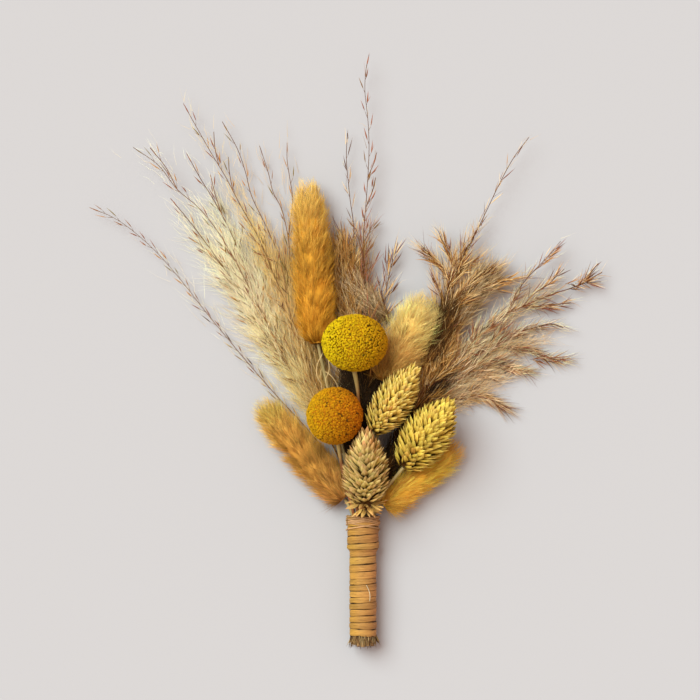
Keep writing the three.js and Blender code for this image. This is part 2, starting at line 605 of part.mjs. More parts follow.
// Tightly wound turns of raffia round the stems, thicker near the mouth, with an open bore.
function binding() {
  const across = new THREE.Vector3(0, 0, 1);
  const up = new THREE.Vector3(1, 0, 0);
  const last = 2 * BINDING_TURNS;
  const ringAt = (y, radius) => (
    ring(new THREE.Vector3(0, y, HANDLE_HEIGHT), across, up, radius, BINDING_SIDES));
  const turns = Array.from({ length: last + 1 }, (_, k) => {
    const y = -BINDING_LENGTH * (1 - k / last);
    const layer = y > -THICK_LENGTH ? THICK_RADIUS : BINDING_RADIUS;
    const radius = layer + (k % 2 ? TURN_RELIEF : -TURN_RELIEF);
    const slant = k % last ? TURN_SLANT : 0;
    const turn = ringAt(y, radius);
    turn.forEach((point) => { point.y += slant * point.x / radius; });
    return turn;
  });
  const bore = [ringAt(0, MOUTH_BORE_RADIUS), ringAt(-THICK_LENGTH, BORE_RADIUS),
    ringAt(-BINDING_LENGTH, BORE_RADIUS)];
  return named('raffia_binding', fuse([loft([...turns, ...bore], true)]), COLOURS.raffia);
}

// ---- Assembly ----

function named(name, geometry, colour) {
  const material = new THREE.MeshStandardMaterial({ color: colour, roughness: 0.85, metalness: 0 });
  const mesh = new THREE.Mesh(geometry, material);
  mesh.name = name;
  return mesh;
}

const bunch = new THREE.Group();

SPRAYS.forEach((plant) => {
  sprayStalks(plant).forEach((points) => takePath(plant.name, points, STEM_RADIUS));
});
BUNNY_TAILS.forEach((plant) => takeHead(plant, TAIL_PROFILE));
CANARY_HEADS.forEach((plant) => takeHead(plant, CANARY_PROFILE));
BILLY_BUTTONS.forEach(({ name, centre, radii }) => {
  take(name, vector(centre), vector(centre), Math.max(...radii));
});

bunch.add(binding());
const heads = [...CANARY_HEADS.map((plant) => [plant, canaryHead(plant)]),
  ...BILLY_BUTTONS.map((plant) => [plant, billyButton(plant)]),
  ...BUNNY_TAILS.map((plant) => [plant, bunnyTail(plant)])];
heads.forEach(([plant, { mesh, end }]) => bunch.add(mesh, stemMesh(plant, end)));
SPRAYS.forEach((plant) => bunch.add(spray(plant)));

const box = new THREE.Box3().setFromObject(bunch, true);
const middle = box.getCenter(new THREE.Vector3());
bunch.position.set(-middle.x, -middle.y, -box.min.z);

const group = new THREE.Group();
group.add(bunch);

export default group;
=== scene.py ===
# A tied bunch of dried grasses and flowers, lying on a pale surface and seen from above.
# Shapes are laid out in millimetres from the mouth of the raffia binding, +Y to the tips.
import math

import bpy
import numpy as np
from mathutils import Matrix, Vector


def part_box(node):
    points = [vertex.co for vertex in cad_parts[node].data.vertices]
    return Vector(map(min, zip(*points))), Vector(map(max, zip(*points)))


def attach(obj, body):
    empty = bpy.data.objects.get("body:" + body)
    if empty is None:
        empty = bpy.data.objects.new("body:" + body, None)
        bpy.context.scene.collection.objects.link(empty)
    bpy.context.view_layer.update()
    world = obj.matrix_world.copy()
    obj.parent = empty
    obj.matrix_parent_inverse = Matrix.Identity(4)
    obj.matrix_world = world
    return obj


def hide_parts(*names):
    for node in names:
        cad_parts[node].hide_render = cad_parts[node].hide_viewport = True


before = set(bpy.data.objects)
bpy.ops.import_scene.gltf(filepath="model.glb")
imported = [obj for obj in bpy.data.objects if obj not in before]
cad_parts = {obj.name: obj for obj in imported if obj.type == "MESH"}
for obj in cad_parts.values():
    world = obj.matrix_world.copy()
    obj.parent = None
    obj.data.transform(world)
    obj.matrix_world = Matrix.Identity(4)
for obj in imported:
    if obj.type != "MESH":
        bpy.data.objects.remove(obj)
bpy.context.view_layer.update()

MM = 0.001
binding_low, binding_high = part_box("raffia_binding")
MOUTH = np.array([(binding_low.x + binding_high.x) / 2, binding_high.y, 0.0])
GOLDEN_ANGLE = math.pi * (3 - math.sqrt(5))
TAU = 2 * math.pi
PALETTE = 8  # a piece's strands share 8 zones with 8 shades each
SHADES = PALETTE ** 2

# ---- Measures of the bunch ----

HANDLE_HEIGHT = 5.1
STEM_RADIUS, STEM_RIBS = 0.66, 8
STEM_SPACING = 1.7
CENTRE, INNER, OUTER = 0, 1, 1.932  # rings of stems in the binding, in steps of STEM_SPACING
BINDING_LENGTH, THICK_LENGTH = 43.5, 12.4
BINDING_RADIUS, THICK_RADIUS = 4.85, 5.7
LOWEST = 0.06  # nothing reaches below this height
FLATTENED = (1, 1, 0.4)  # strands scatter less in height
PICTURE_MIDDLE, PICTURE_WIDTH = (-4.68, 59.76, 9.0), 252

CANARY_HEADS = {
    "canary_grass_low": dict(
        base=(0.9, 3, 11), tip=(1, 30.4, 19.6), radius=7.6, held=(OUTER, 90), route=[(0.3, 0.8, 9.1)],
        body=(255, 228, 134), keel=(214, 166, 60), tips=(252, 206, 140),
        skirt=0.85, blush=0.45),
    "canary_grass_mid": dict(
        base=(4, 31, 14.2), tip=(18.7, 53.3, 17.4), radius=6.8, held=(OUTER, 60),
        route=[(3.3, 8, 5.8), (3.4, 15, 6.5), (3.3, 22, 9), (3.7, 28.5, 13)],
        body=(252, 210, 88), keel=(210, 156, 38), tips=(252, 220, 128)),
    "canary_grass_right": dict(
        base=(14.8, 18, 13), tip=(31, 40.7, 17), radius=8.3, held=(OUTER, 30),
        route=[(6.8, 8, 7.2), (10.4, 12.6, 10.3)],
        body=(248, 206, 80), keel=(190, 146, 28), tips=(248, 216, 106)),
}
# Each ball goes from its left colour to a deeper orange right colour: painted shade on the side away from the light.
BILLY_BUTTONS = {
    "billy_button_upper": dict(
        centre=(-3, 62.3, 20.4), radii=(12, 10.4, 10.8), held=(OUTER, 120), attach=(-0.04, -0.86, -0.5),
        route=[(-2.3, 8, 6.2), (-1.6, 15, 6.4), (-1.2, 25, 7.6), (-1.3, 36, 8.8), (-2, 46, 11.4)],
        left=(252, 212, 6), right=(236, 166, 8), slot="button_yellow"),
    "billy_button_lower": dict(
        centre=(-10.2, 36.2, 17.4), radii=(10.3, 10.5, 10.3), held=(OUTER, 150), attach=(0.1, -0.88, -0.46),
        route=[(-5.2, 8, 7.5), (-7.2, 16, 9)],
        left=(236, 178, 8), right=(232, 132, 8), slot="button_orange"),
}
BUNNY_TAILS = {
    "bunny_tail_tall": dict(
        base=(-16.2, 62.3, 6.9), tip=(-20.2, 121.7, 6.3), radius=7.4, held=(INNER, 135),
        route=[(-4.4, 8, 5), (-5.6, 16, 5.6), (-9.4, 34, 4.8), (-13.6, 50, 5.6)],
        full=1, low=(220, 136, 12), high=(232, 164, 50), end=(230, 186, 92), awns=0.7),
    "bunny_tail_upper_right": dict(
        base=(8.4, 48, 6.2), tip=(24.1, 80.6, 7.6), radius=7.3, held=(INNER, 315),
        route=[(2.4, 8, 3.6), (3.6, 16, 3.8), (5.6, 32, 4.4)],
        full=1.24, low=(255, 176, 66), high=(255, 208, 112), end=(255, 220, 138)),
    "bunny_tail_lower_left": dict(
        base=(-6.8, 6.2, 4.1), tip=(-38.5, 42.1, 3.9), radius=6.4, held=(OUTER, 180),
        route=[(-4.7, 2.6, 4.6)],
        full=1.15, low=(222, 150, 76), high=(226, 160, 68), end=(255, 204, 98)),
    "bunny_tail_lower_right": dict(
        base=(7.5, 3.6, 4.5), tip=(36.7, 26.3, 4.3), radius=5.2, held=(OUTER, 0),
        route=[(4.3, 0.9, 5), (5.6, 2.3, 4.8)],
        # its colours go past full brightness and its awns are lighter: painted light, lifting it out of the shadow of
        # the heads beside it
        full=1.3, low=(292, 220, 86), high=(288, 214, 78), end=(276, 214, 104), awns=0.8),
}
# Kinds of spray. near and far are the spikelets' colours near the binding and at the tips, silk the silky
# hairs' from the binding outwards. haze gives where the hairs begin, are full, thin out and end. cluster is
# the spikelets on each branchlet.
STRAW = dict(
    stalk=(100, 66, 34), slot="straw_spray", haze=(24, 36, 92, 130), pedicel=(0.8, 3), cluster=1, streaks=0.25,
    plump=0.17, spike=(3.4, 5.4), splay=0.07, loose=1.8, sunk=1.4, strand=(7, 14), silky=(16, 0.4), bristles=0,
    near=[(176, 148, 84), (200, 164, 98), (140, 108, 62), (214, 180, 118)],
    far=[(138, 80, 54), (186, 128, 60), (128, 108, 52), (92, 60, 38), (150, 100, 62), (110, 76, 48)],
    silk=[((172, 120, 54), (212, 162, 86)), ((242, 198, 118), (254, 222, 148)), ((255, 226, 158), (255, 238, 182)),
          ((255, 228, 184), (255, 238, 204))])
# AMBER's silk is browner and darker than STRAW's: partly its own colour, partly painted shade beside the tall tail
AMBER = dict(STRAW, haze=(24, 36, 82, 108), silk=[
    ((130, 84, 36), (172, 122, 60)), ((168, 118, 56), (210, 158, 86)), ((210, 162, 92), (238, 196, 126))])
TAWNY = dict(STRAW, silk=[
    ((150, 102, 46), (192, 142, 76)), ((200, 150, 78), (234, 188, 110)), ((240, 198, 124), (252, 218, 146))])
BROWN = dict(
    stalk=(92, 58, 30), slot="brown_spray", haze=(10, 16, 68, 112), pedicel=(0.4, 1.6), cluster=3, streaks=0.34,
    plump=0.15, spike=(4.4, 7.6), splay=0.17, loose=0.8, sunk=0.6, strand=(5, 11), silky=(10, 0.8), bristles=0.36,
    near=[(84, 52, 22), (132, 90, 44), (206, 156, 92), (232, 186, 122), (178, 130, 70)],
    far=[(98, 60, 34), (136, 74, 52), (196, 146, 92), (238, 198, 146), (248, 216, 170), (150, 98, 56),
         (220, 176, 122)],
    silk=[((98, 62, 24), (172, 118, 56)), ((218, 166, 96), (254, 212, 144)), ((264, 224, 162), (274, 248, 200))])
# Tangles of strands deep in the bunch or over it. The darkest strands, deep in the bunch, are dark brown and darker
# still: partly their own colour, partly painted shade.
DEEP_SHADE_BROWN = [((44, 32, 20), (62, 44, 26)), ((86, 62, 36), (58, 42, 24))]
VEIL = [((216, 168, 110), (240, 202, 150)), ((240, 200, 146), (255, 234, 194))]
HAY = [((110, 78, 40), (226, 190, 136)), ((150, 110, 62), (246, 216, 168))]
PEAT = [((44, 28, 10), (84, 54, 22)), ((70, 44, 18), (132, 90, 42))]
UMBER = dict(
    BROWN, haze=(10, 16, 88, 120), streaks=0.5,
    near=[(78, 46, 16), (124, 80, 30), (206, 148, 72), (228, 176, 100), (166, 112, 46)],
    far=[(90, 52, 20), (124, 68, 42), (184, 130, 66), (232, 182, 112), (244, 206, 144), (134, 88, 38)],
    silk=[((84, 48, 14), (146, 92, 34)), ((140, 86, 32), (228, 164, 84)), ((208, 150, 80), (252, 212, 138))])
# lines are the main stalk from the binding on, then its side branches. A tangle and a veil go from one
# point to another with a half width and a number of strands.
SPRAYS = {
    "spray_left_1": dict(STRAW, slim=0.6, pitch=3, held=(OUTER, 210), bare=48, fluff=0.04, lines=[
        [(-5.6, 8, 1.5), (-8.6, 15.5, 1.3), (-18.6, 29.3, 1.3), (-31.6, 43.6, 1.8), (-43.2, 57, 2.6),
         (-57.6, 74.5, 3.2), (-66.6, 86, 3.6), (-76.7, 97.2, 4), (-88.9, 106.9, 4.4), (-98.6, 111.2, 4.8)]]),
    "spray_left_2": dict(STRAW, held=(OUTER, 240), bare=56, fluff=1, sparse={3: 0.3, 4: 0.3, 5: 0.3, 6: 0.3}, lines=[
        [(-4, 8, 1.5), (-6.5, 16, 1.6), (-15.6, 34, 2), (-25, 50, 2.4), (-29.9, 57.2, 2.6), (-38.9, 72.7, 3),
         (-50.4, 89.6, 3.6), (-62.3, 105.8, 4.2), (-69.5, 114.5, 4.6)],
        [(-25, 50, 2.4), (-32, 64, 4), (-39.5, 79, 5.2), (-46.4, 92.5, 6), (-52.9, 103.3, 6.4),
         (-59.4, 111.2, 6.6), (-67, 117.7, 6.8), (-73.8, 126.4, 7), (-82.8, 132.8, 7.2)],
        [(-67, 117.7, 6.8), (-71, 125.5, 7.6), (-76.7, 132.6, 8.4)],
        [(-50.4, 89.6, 3.6), (-57, 96.5, 3), (-63, 100.5, 2.8)],
        [(-42, 77.6, 3.1), (-47.6, 82.4, 2.6), (-52, 84.4, 2.4)],
        [(-34.5, 65.3, 2.8), (-40, 69.6, 2.2), (-45, 72.4, 2)],
        [(-29.9, 57.2, 2.6), (-35, 60.8, 1.9), (-39, 63, 1.6)]]),
    "spray_left_3": dict(STRAW, held=(INNER, 255), bare=60, fluff=0.9, lines=[
        [(-2.3, 8, 1.6), (-4.5, 16, 2), (-13, 34, 3.4), (-21.6, 50, 3.6), (-33.1, 73.8, 2.2), (-38.2, 83.2, 2),
         (-43.9, 93.2, 2.2), (-48.2, 103.3, 2.4), (-54, 114.1, 2.8), (-58.7, 121.7, 3.2), (-63.7, 130.7, 3.8)],
        [(-51, 108.6, 2.6), (-53.4, 116, 3.6), (-55.1, 123, 4.4)],
        [(-33.1, 73.8, 2.2), (-34.6, 80, 1.6), (-37.6, 90, 1.4)]]),
    "spray_left_4": dict(TAWNY, held=(INNER, 195), bare=70, fluff=1, lines=[
        [(-3.1, 8, 3.3), (-5.2, 16, 3.8), (-11.6, 34, 4.6), (-19.8, 55, 4.8), (-27.5, 76, 4.6), (-31, 84, 4.4),
         (-37.8, 100.4, 4), (-44.6, 112.7, 4.2), (-49.3, 121.7, 4.4), (-55.1, 131.4, 4.8), (-59.8, 139.7, 5.2),
         (-64.8, 148.7, 5.6)],
        [(-46.9, 117, 4.3), (-48.2, 124, 5.2), (-48.6, 129.4, 6)],
        [(-52, 126.2, 4.6), (-53.4, 132.6, 5.6), (-53.8, 138.4, 6.4)]]),
    "spray_left_5": dict(AMBER, held=(CENTRE, 0), bare=84, fluff=1, lines=[
        [(-1.2, 8, 3.2), (-3, 16, 3.7), (-9.2, 34, 2.8), (-15.6, 55, 2.4), (-19.6, 66, 2.2), (-23.2, 76, 2.2),
         (-25, 81.7, 2.4), (-29.9, 93.2, 2.8), (-35.3, 105.1, 3), (-40.3, 115.6, 3.2), (-42.5, 124.2, 3.6),
         (-45.4, 132.5, 4.2), (-50.8, 142.2, 5)],
        [(-25, 81.7, 2.4), (-26.2, 90, 2), (-27, 100.1, 2), (-29.6, 111.2, 2.2), (-32.4, 116.6, 2.4),
         (-34.2, 123.8, 2.8), (-37.4, 133.6, 3.4)],
        [(-27, 100.1, 2), (-26, 108, 2), (-25.4, 114.5, 2.4), (-26.6, 122.8, 3), (-27.4, 128.5, 3.6),
         (-27.4, 134.6, 4.2)]],
        curls=[[(-14.6, 58.4, 8), (-16.4, 54.6, 8.6), (-16.6, 50.6, 9), (-15, 47.4, 8.4), (-14.8, 44.6, 7)],
               [(-13.6, 52, 9.4), (-11.4, 50.4, 10.2), (-9.4, 47.4, 9.6), (-8.6, 44.6, 8.4)],
               [(-12.4, 56, 8.6), (-12.2, 52.6, 9.4), (-13.4, 49, 9), (-12.8, 45.8, 8)]]),
    "spray_middle_1": dict(
        UMBER, cluster=1, pedicel=(0.8, 3.4), plump=0.24, spike=(3.8, 5.4), splay=0.08,
        far=[(136, 82, 56), (158, 98, 70), (112, 72, 42), (136, 100, 58), (88, 56, 34)],
        held=(INNER, 75), bare=78, fluff=0.35, lines=[
        [(0.3, 8, 4.8), (0.6, 16, 4.7), (1.2, 34, 4.4), (1.4, 50, 4.2), (1, 62, 4.2), (0.6, 80, 4.2),
         (0.2, 100.4, 4.6), (1.4, 116.6, 5), (2.2, 132.1, 5.6), (1.8, 142.6, 6), (0.7, 153.4, 6.4),
         (1.1, 160.9, 6.8), (2.2, 166.3, 7)],
        [(1.7, 122, 5.2), (4, 127.4, 5.8), (5, 131, 6.2)],
        [(1.4, 112, 4.9), (3.6, 117.6, 4.6), (4.6, 122, 4.6)]]),
    "spray_middle_2": dict(
        UMBER, haze=(10, 16, 76, 108), silk=[
            ((100, 58, 20), (160, 102, 44)), ((196, 138, 76), (246, 200, 132)), ((234, 186, 126), (255, 228, 178))],
        held=(OUTER, 270), bare=66, fluff=0.9, sparse={2: 0.08}, lines=[
        [(0.2, 8, 1.6), (0, 16, 1.7), (-1.8, 34, 1.8), (-2.6, 50, 1.8), (-2.8, 62, 1.8), (-2.7, 80, 2.2),
         (-3.4, 105.1, 2.8), (-4.6, 113.8, 3), (-5.2, 119.5, 3.2), (-6, 129.2, 3.6), (-5.6, 138.2, 4)],
        [(-2.7, 80, 2.2), (-5, 88.2, 2.2), (-7.2, 97.9, 2.6), (-8.4, 104, 3)],
        [(-2.6, 50, 1.8), (1.4, 59, 1.6), (4.8, 66, 2), (7.2, 72.4, 2.4), (8.6, 82.1, 2.8), (10.4, 90.7, 3.4),
         (12.6, 98.6, 4)],
        [(7.2, 72.4, 2.4), (3.4, 78, 1.8), (-2.6, 84.6, 1.8)]],
        # the dark brown tangles near the binding are partly painted shade deep in the bunch
        tangles=[((0, 12, 3), (-4, 36, 4), 5, 1500, DEEP_SHADE_BROWN), ((-2, 30, 3), (-1, 54, 4), 7, 2400, DEEP_SHADE_BROWN),
                 ((-4, 62, 3), (-8, 96, 3), 4, 1500, UMBER["silk"]), ((8, 71, 2.6), (-3, 83, 3), 3, 900, HAY)]),
    "spray_right_1": dict(UMBER, held=(INNER, 15), bare=62, fluff=0.9, lines=[
        [(4.8, 8, 4.4), (9.4, 18, 4.6), (18.6, 36, 4.8), (25.6, 52, 5), (28.6, 67, 5.4), (30.4, 81.4, 5.8),
         (34.9, 91.1, 6.2), (40.3, 101.2, 6.4), (45, 110.9, 6.6), (49.3, 119.9, 6.8), (54.4, 129.2, 7.2),
         (59.8, 136.4, 7.6)],
        [(31.6, 84.8, 5.9), (26.6, 91.4, 6.4), (21.2, 95.8, 7)],
        [(34, 89.2, 6.1), (30.6, 95.4, 6.8), (27.8, 101, 7.4)],
        [(28.9, 71.5, 5.5), (36, 79.4, 6.2), (42.4, 85.6, 6.8), (48.2, 89.4, 7.2)],
        [(36, 79.4, 6.2), (43.4, 82.4, 6.4), (50.6, 84.4, 6.8), (56.9, 85.7, 7.2)],
        [(30.4, 81.4, 5.8), (36.2, 88.6, 5.2), (42.1, 93.6, 5)]],
        tangles=[((23, 48, 3), (31, 72, 4.6), 5, 1500, UMBER["silk"]), ((24, 54, 4), (31, 74, 6), 3.4, 900, PEAT),
                 ((30, 66, 4), (45, 86, 5), 4, 1500, HAY)]),
    "spray_right_2": dict(BROWN, held=(OUTER, 300), bare=58, fluff=1, lines=[
        [(2.7, 8, 1.7), (8.2, 18, 2.3), (16.6, 34, 2.8), (22.6, 44.4, 3.2), (30.2, 51.8, 3.4), (36.7, 59.4, 3.6),
         (44.3, 67.6, 3.8), (49.4, 71.5, 4), (55.1, 74.2, 4.2), (62, 77.4, 3.9), (69.8, 80.4, 3.9), (76, 82.4, 4),
         (86.4, 87.8, 4.4)],
        [(52, 72.8, 4.1), (55.6, 80.6, 4.8), (59.6, 86, 5.2), (66.6, 93.4, 6), (71.3, 99, 6.4)],
        [(57.4, 75.2, 4.1), (61.6, 79.8, 5), (67.3, 84, 5.4), (72.7, 89, 5.8)],
        [(58.5, 75.8, 4), (64.8, 75.4, 3.2), (75.2, 77, 3)],
        [(75, 82, 3.9), (80.6, 84, 3.6), (86, 84.4, 3.4)],
        [(78, 83.4, 4.1), (82, 87.4, 4.8), (85, 91, 5.2)]],
        veils=[((24, 42, 1.6), (50, 64, 2), 7, 700), ((46, 66, 2), (64, 82, 2.6), 6, 260)]),
    "spray_right_3": dict(BROWN, held=(OUTER, 330), bare=44, fluff=1, lines=[
        [(5, 8, 2.3), (11, 18, 1.9), (19.5, 31.6, 2), (26.5, 41.6, 2.1), (33.4, 47.8, 2.2), (39.4, 54, 2.2),
         (43.6, 59, 2.2), (49.4, 63.6, 2.3), (54.7, 65.8, 2.4), (63, 68, 2.6), (68, 69.2, 2.8), (72.4, 67.9, 3)],
        [(43.6, 59, 2.2), (50.8, 61.6, 1.7), (58.3, 60.4, 1.7), (68.8, 56.4, 2), (73.4, 56.2, 2.2)],
        [(33.4, 47.8, 2.2), (39.4, 50.8, 1.7), (49, 53.6, 1.6), (59.8, 51.8, 2)],
        [(26.5, 41.6, 2.1), (35.3, 42.6, 1.7), (42.5, 43, 1.7), (50.8, 39.2, 2)]],
        # the dark brown tangles near the binding are partly painted shade deep in the bunch
        tangles=[((6, 12, 3), (20, 36, 4), 4, 1300, DEEP_SHADE_BROWN), ((16, 34, 3), (26, 46, 3), 4, 1000, DEEP_SHADE_BROWN)],
        veils=[((28, 38, 1.4), (50, 52, 1.6), 6, 600), ((46, 56, 1.6), (62, 64, 2), 6, 260)]),
}

# Widths along a head, from base to tip.
TAIL_PROFILE = [(0, 0.45), (0.03, 0.66), (0.09, 0.86), (0.2, 0.97), (0.35, 1), (0.65, 0.98), (0.82, 0.89),
                (0.92, 0.74), (0.98, 0.54), (1, 0.36)]
CANARY_PROFILE = [(0, 0.3), (0.08, 0.62), (0.2, 0.9), (0.38, 1), (0.6, 0.94), (0.76, 0.74), (0.9, 0.44),
                  (1, 0.12)]
# Where the binding's turns meet on its upper side, from the mouth to the cut ends.
TURN_EDGES = [0, -2.6, -5, -8.6, -11.2, -13, -16.2, -18.7, -21.6, -23.8, -25.6, -28.4, -30.2, -32.4,
              -34.9, -37.1, -39.6, -42.1, -43.4]
# under and inside are dark: painted shade in the grooves between turns and inside the mouth
RAFFIA = dict(
    strip=(222, 161, 82), under=(62, 38, 16), inside=(92, 60, 34), crossing=(236, 180, 122), loose=(240, 214, 170),
    fibres=[((214, 168, 108), (226, 186, 128)), ((190, 140, 84), (206, 160, 104))],
    ends=[((120, 80, 44), (206, 164, 104)), ((84, 52, 30), (160, 116, 70)), ((200, 160, 100), (232, 200, 140))])

# How many fine parts there are.
HAIRS_IN_TUFT = 24
TUFTS_PER_AREA, AWNS_PER_MM = 0.75, 44
GLUMES, FLORETS = 420, 3000
CROSSING_STRANDS, FRAYED_ENDS, LOOSE_FIBRES = 9, 240, 110
SILK_SHARE = 1


# ---- Helpers ----

def random_of(name):
    return np.random.default_rng([ord(letter) for letter in name])


def linear(colour):
    """An sRGB colour of 0 to 255 as linear values."""
    c = np.asarray(colour, float) / 255
    return np.where(c <= 0.04045, c / 12.92, ((c + 0.055) / 1.055) ** 2.4)


def unit(v):
    return v / np.maximum(np.linalg.norm(v, axis=-1, keepdims=True), 1e-9)


def profile_at(profile, place):
    return np.interp(place, [p for p, _ in profile], [w for _, w in profile])


def even_places(profile, count):
    """Places along a profile that share its surface evenly."""
    steps = np.linspace(0, 1, 801)
    sums = np.concatenate([[0], np.cumsum(profile_at(profile, (steps[1:] + steps[:-1]) / 2))])
    return np.interp((np.arange(count) + 0.5) / count, sums / sums[-1], steps)


def smooth(points, steps=8):
    """A smooth line through points."""
    p = np.array(points, float)
    p = np.vstack([2 * p[0] - p[1], p, 2 * p[-1] - p[-2]])
    line = []
    for i in range(1, len(p) - 2):
        a, b, c, d = p[i - 1:i + 3]
        t = np.cumsum([0, *(max(np.linalg.norm(w - v), 1e-6) ** 0.5 for v, w in ((a, b), (b, c), (c, d)))])
        u = np.linspace(t[1], t[2], steps, endpoint=False)[:, None]
        blend = lambda v, w, lo, hi: ((hi - u) * v + (u - lo) * w) / (hi - lo)
        ab, bc, cd = blend(a, b, t[0], t[1]), blend(b, c, t[1], t[2]), blend(c, d, t[2], t[3])
        line.append(blend(blend(ab, bc, t[0], t[2]), blend(bc, cd, t[1], t[3]), t[1], t[2]))
    return np.vstack([*line, p[-2]])


def spaced(line, pitch):
    """Points every pitch along a line, with the direction at each and its place from 0 to 1."""
    lengths = np.concatenate([[0], np.cumsum(np.linalg.norm(np.diff(line, axis=0), axis=1))])
    at = np.linspace(0, lengths[-1], max(int(lengths[-1] / pitch), 1) + 1)
    points = np.stack([np.interp(at, lengths, line[:, k]) for k in range(3)], 1)
    return points, unit(np.gradient(points, axis=0)), at / lengths[-1]


def cross_axes(directions):
    """Two unit vectors square to each direction."""
    helper = np.where(np.abs(directions[..., 2:3]) < 0.9, [0.0, 0, 1], [1.0, 0, 0])
    across = unit(np.cross(helper, directions))
    return across, np.cross(directions, across)


def around(directions, angles):
    """Unit vectors square to each direction, at angles about it."""
    across, up = cross_axes(directions)
    return np.cos(angles)[..., None] * across[..., None, :] + np.sin(angles)[..., None] * up[..., None, :]


def ring_faces(rings, sides):
    """Quads between neighbouring rings of points, and triangles from the last ring to a point after it."""
    i = np.arange(sides)
    j = (i + 1) % sides
    quads = np.concatenate([np.stack([i, j, j + sides, i + sides], 1) + r * sides for r in range(rings - 1)])
    last = (rings - 1) * sides
    return quads, np.stack([i + last, j + last, np.full(sides, last + sides)], 1)


def grid_faces(rows, columns):
    """Quads of a grid of points."""
    i = (np.arange(rows - 1)[:, None] * columns + np.arange(columns - 1)).ravel()
    return np.stack([i, i + 1, i + columns + 1, i + columns], 1)


def repeated(faces, copies, step):
    """The same faces on copies of step points each."""
    return (faces + np.arange(copies)[:, None, None] * step).reshape(-1, faces.shape[1])


def alternate(n):
    return np.where(np.arange(n) % 2, 1.0, -1.0)


def above_surface(lines):
    """Lines turned up again where they would pass through the surface."""
    lines[..., 2] = LOWEST + np.abs(lines[..., 2] - LOWEST)
    return lines


class Soup:
    """Vertices, faces, tints and bake places of one piece, gathered in millimetres."""

    def __init__(self):
        self.points, self.tints, self.places, self.quads, self.triangles = [], [], [], [], []
        self.count = 0

    def add(self, points, tints, places, quads, triangles=None):
        self.points.append(points.reshape(-1, 3))
        self.tints.append(tints.reshape(-1, 3))
        self.places.append(places.reshape(-1, 2))
        self.quads.append(quads + self.count)
        if triangles is not None:
            self.triangles.append(triangles + self.count)
        self.count += len(self.points[-1])

    def piece(self, name, material, slot, *nodes):
        points = np.concatenate(self.points)
        points[:, 2] = np.maximum(points[:, 2], LOWEST)
        quads, triangles = np.concatenate(self.quads), np.concatenate(self.triangles)
        corners = np.concatenate([quads.ravel(), triangles.ravel()]).astype(np.int32)
        starts = np.concatenate([np.arange(len(quads)) * 4, len(quads) * 4 + np.arange(len(triangles)) * 3])
        mesh = bpy.data.meshes.new(name)
        for kind, count, key, values in (
                (mesh.vertices, len(points), "co", (points * MM + MOUTH).astype(np.float32)),
                (mesh.loops, len(corners), "vertex_index", corners),
                (mesh.polygons, len(starts), "loop_start", starts.astype(np.int32))):
            kind.add(count)
            kind.foreach_set(key, values.ravel())
        mesh.polygons.foreach_set("use_smooth", np.ones(len(starts), bool))
        mesh.update(calc_edges=True)
        tints = np.ones((len(points), 4), np.float32)
        tints[:, :3] = np.clip(np.concatenate(self.tints), 0, 1)
        mesh.attributes.new("tint", "FLOAT_COLOR", "POINT").data.foreach_set("color", tints.ravel())
        places = np.concatenate(self.places).astype(np.float32)
        mesh.uv_layers.new(name="OFBake").data.foreach_set("uv", places[corners].ravel())
        mesh.materials.append(material)
        obj = bpy.data.objects.new(name, mesh)
        bpy.context.scene.collection.objects.link(obj)
        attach(obj, "root")
        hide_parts(*nodes)


def palette(stops, spread, seed):
    """All shades as root and tip colours: (SHADES, 2, 3). stops are root and tip colours from the first
    zone to the last."""
    rng = np.random.default_rng(seed)
    stops = np.array([[linear(c) for c in pair] for pair in stops])
    at = np.linspace(0, len(stops) - 1, PALETTE)
    low = np.floor(at).astype(int)
    high = np.minimum(low + 1, len(stops) - 1)
    part = (at - low)[:, None, None]
    tones = stops[low] * (1 - part) + stops[high] * part
    shade = 1 + spread * rng.uniform(-1, 1, (PALETTE, PALETTE, 1, 1))
    hue = 1 + 0.05 * rng.uniform(-1, 1, (PALETTE, PALETTE, 1, 3))
    return (tones[:, None] * shade * hue).reshape(SHADES, 2, 3)


def cell(index, across, along, cells=SHADES):
    """A place inside one of the cells that the bake's square is cut into."""
    count = math.ceil(math.sqrt(cells))
    u = (index % count + 0.1 + 0.8 * across) / count
    v = (index // count % count + 0.1 + 0.8 * along) / count
    return np.stack(np.broadcast_arrays(u, v), -1)


def add_strands(soup, lines, radii, shades, colours, sides=3):
    """Fine tapered strands. lines (n, k, 3), radii (n, k), shades (n) indexes colours (SHADES, 2, 3)."""
    n, k, _ = lines.shape
    out = around(unit(np.gradient(lines, axis=1)), TAU * np.arange(sides) / sides)
    rings = (lines[:, :, None] + radii[:, :, None, None] * out)[:, :-1]
    points = np.concatenate([rings.reshape(n, -1, 3), lines[:, -1:]], 1)
    share = np.concatenate([np.repeat(np.linspace(0, 1, k)[:-1], sides), [1.0]])
    turn = np.concatenate([np.tile(np.arange(sides) / (sides - 1), k - 1), [0.5]])
    blend = share[None, :, None]
    tints = colours[shades, 0][:, None] * (1 - blend) + colours[shades, 1][:, None] * blend
    soup.add(points, tints, cell(shades[:, None], turn[None], share[None]),
             *(repeated(faces, n, points.shape[1]) for faces in ring_faces(k - 1, sides)))


def bent(roots, directions, lengths, bends, k=4):
    """Centre lines that leave along directions and bend more towards their tips."""
    s = np.linspace(0, 1, k)
    return (roots[:, None] + directions[:, None] * lengths[:, None, None] * s[None, :, None]
            + bends[:, None] * (s ** 2)[None, :, None])


def tapered(radius, k=4, tip=0.25):
    return radius[:, None] * np.linspace(1, tip, k)


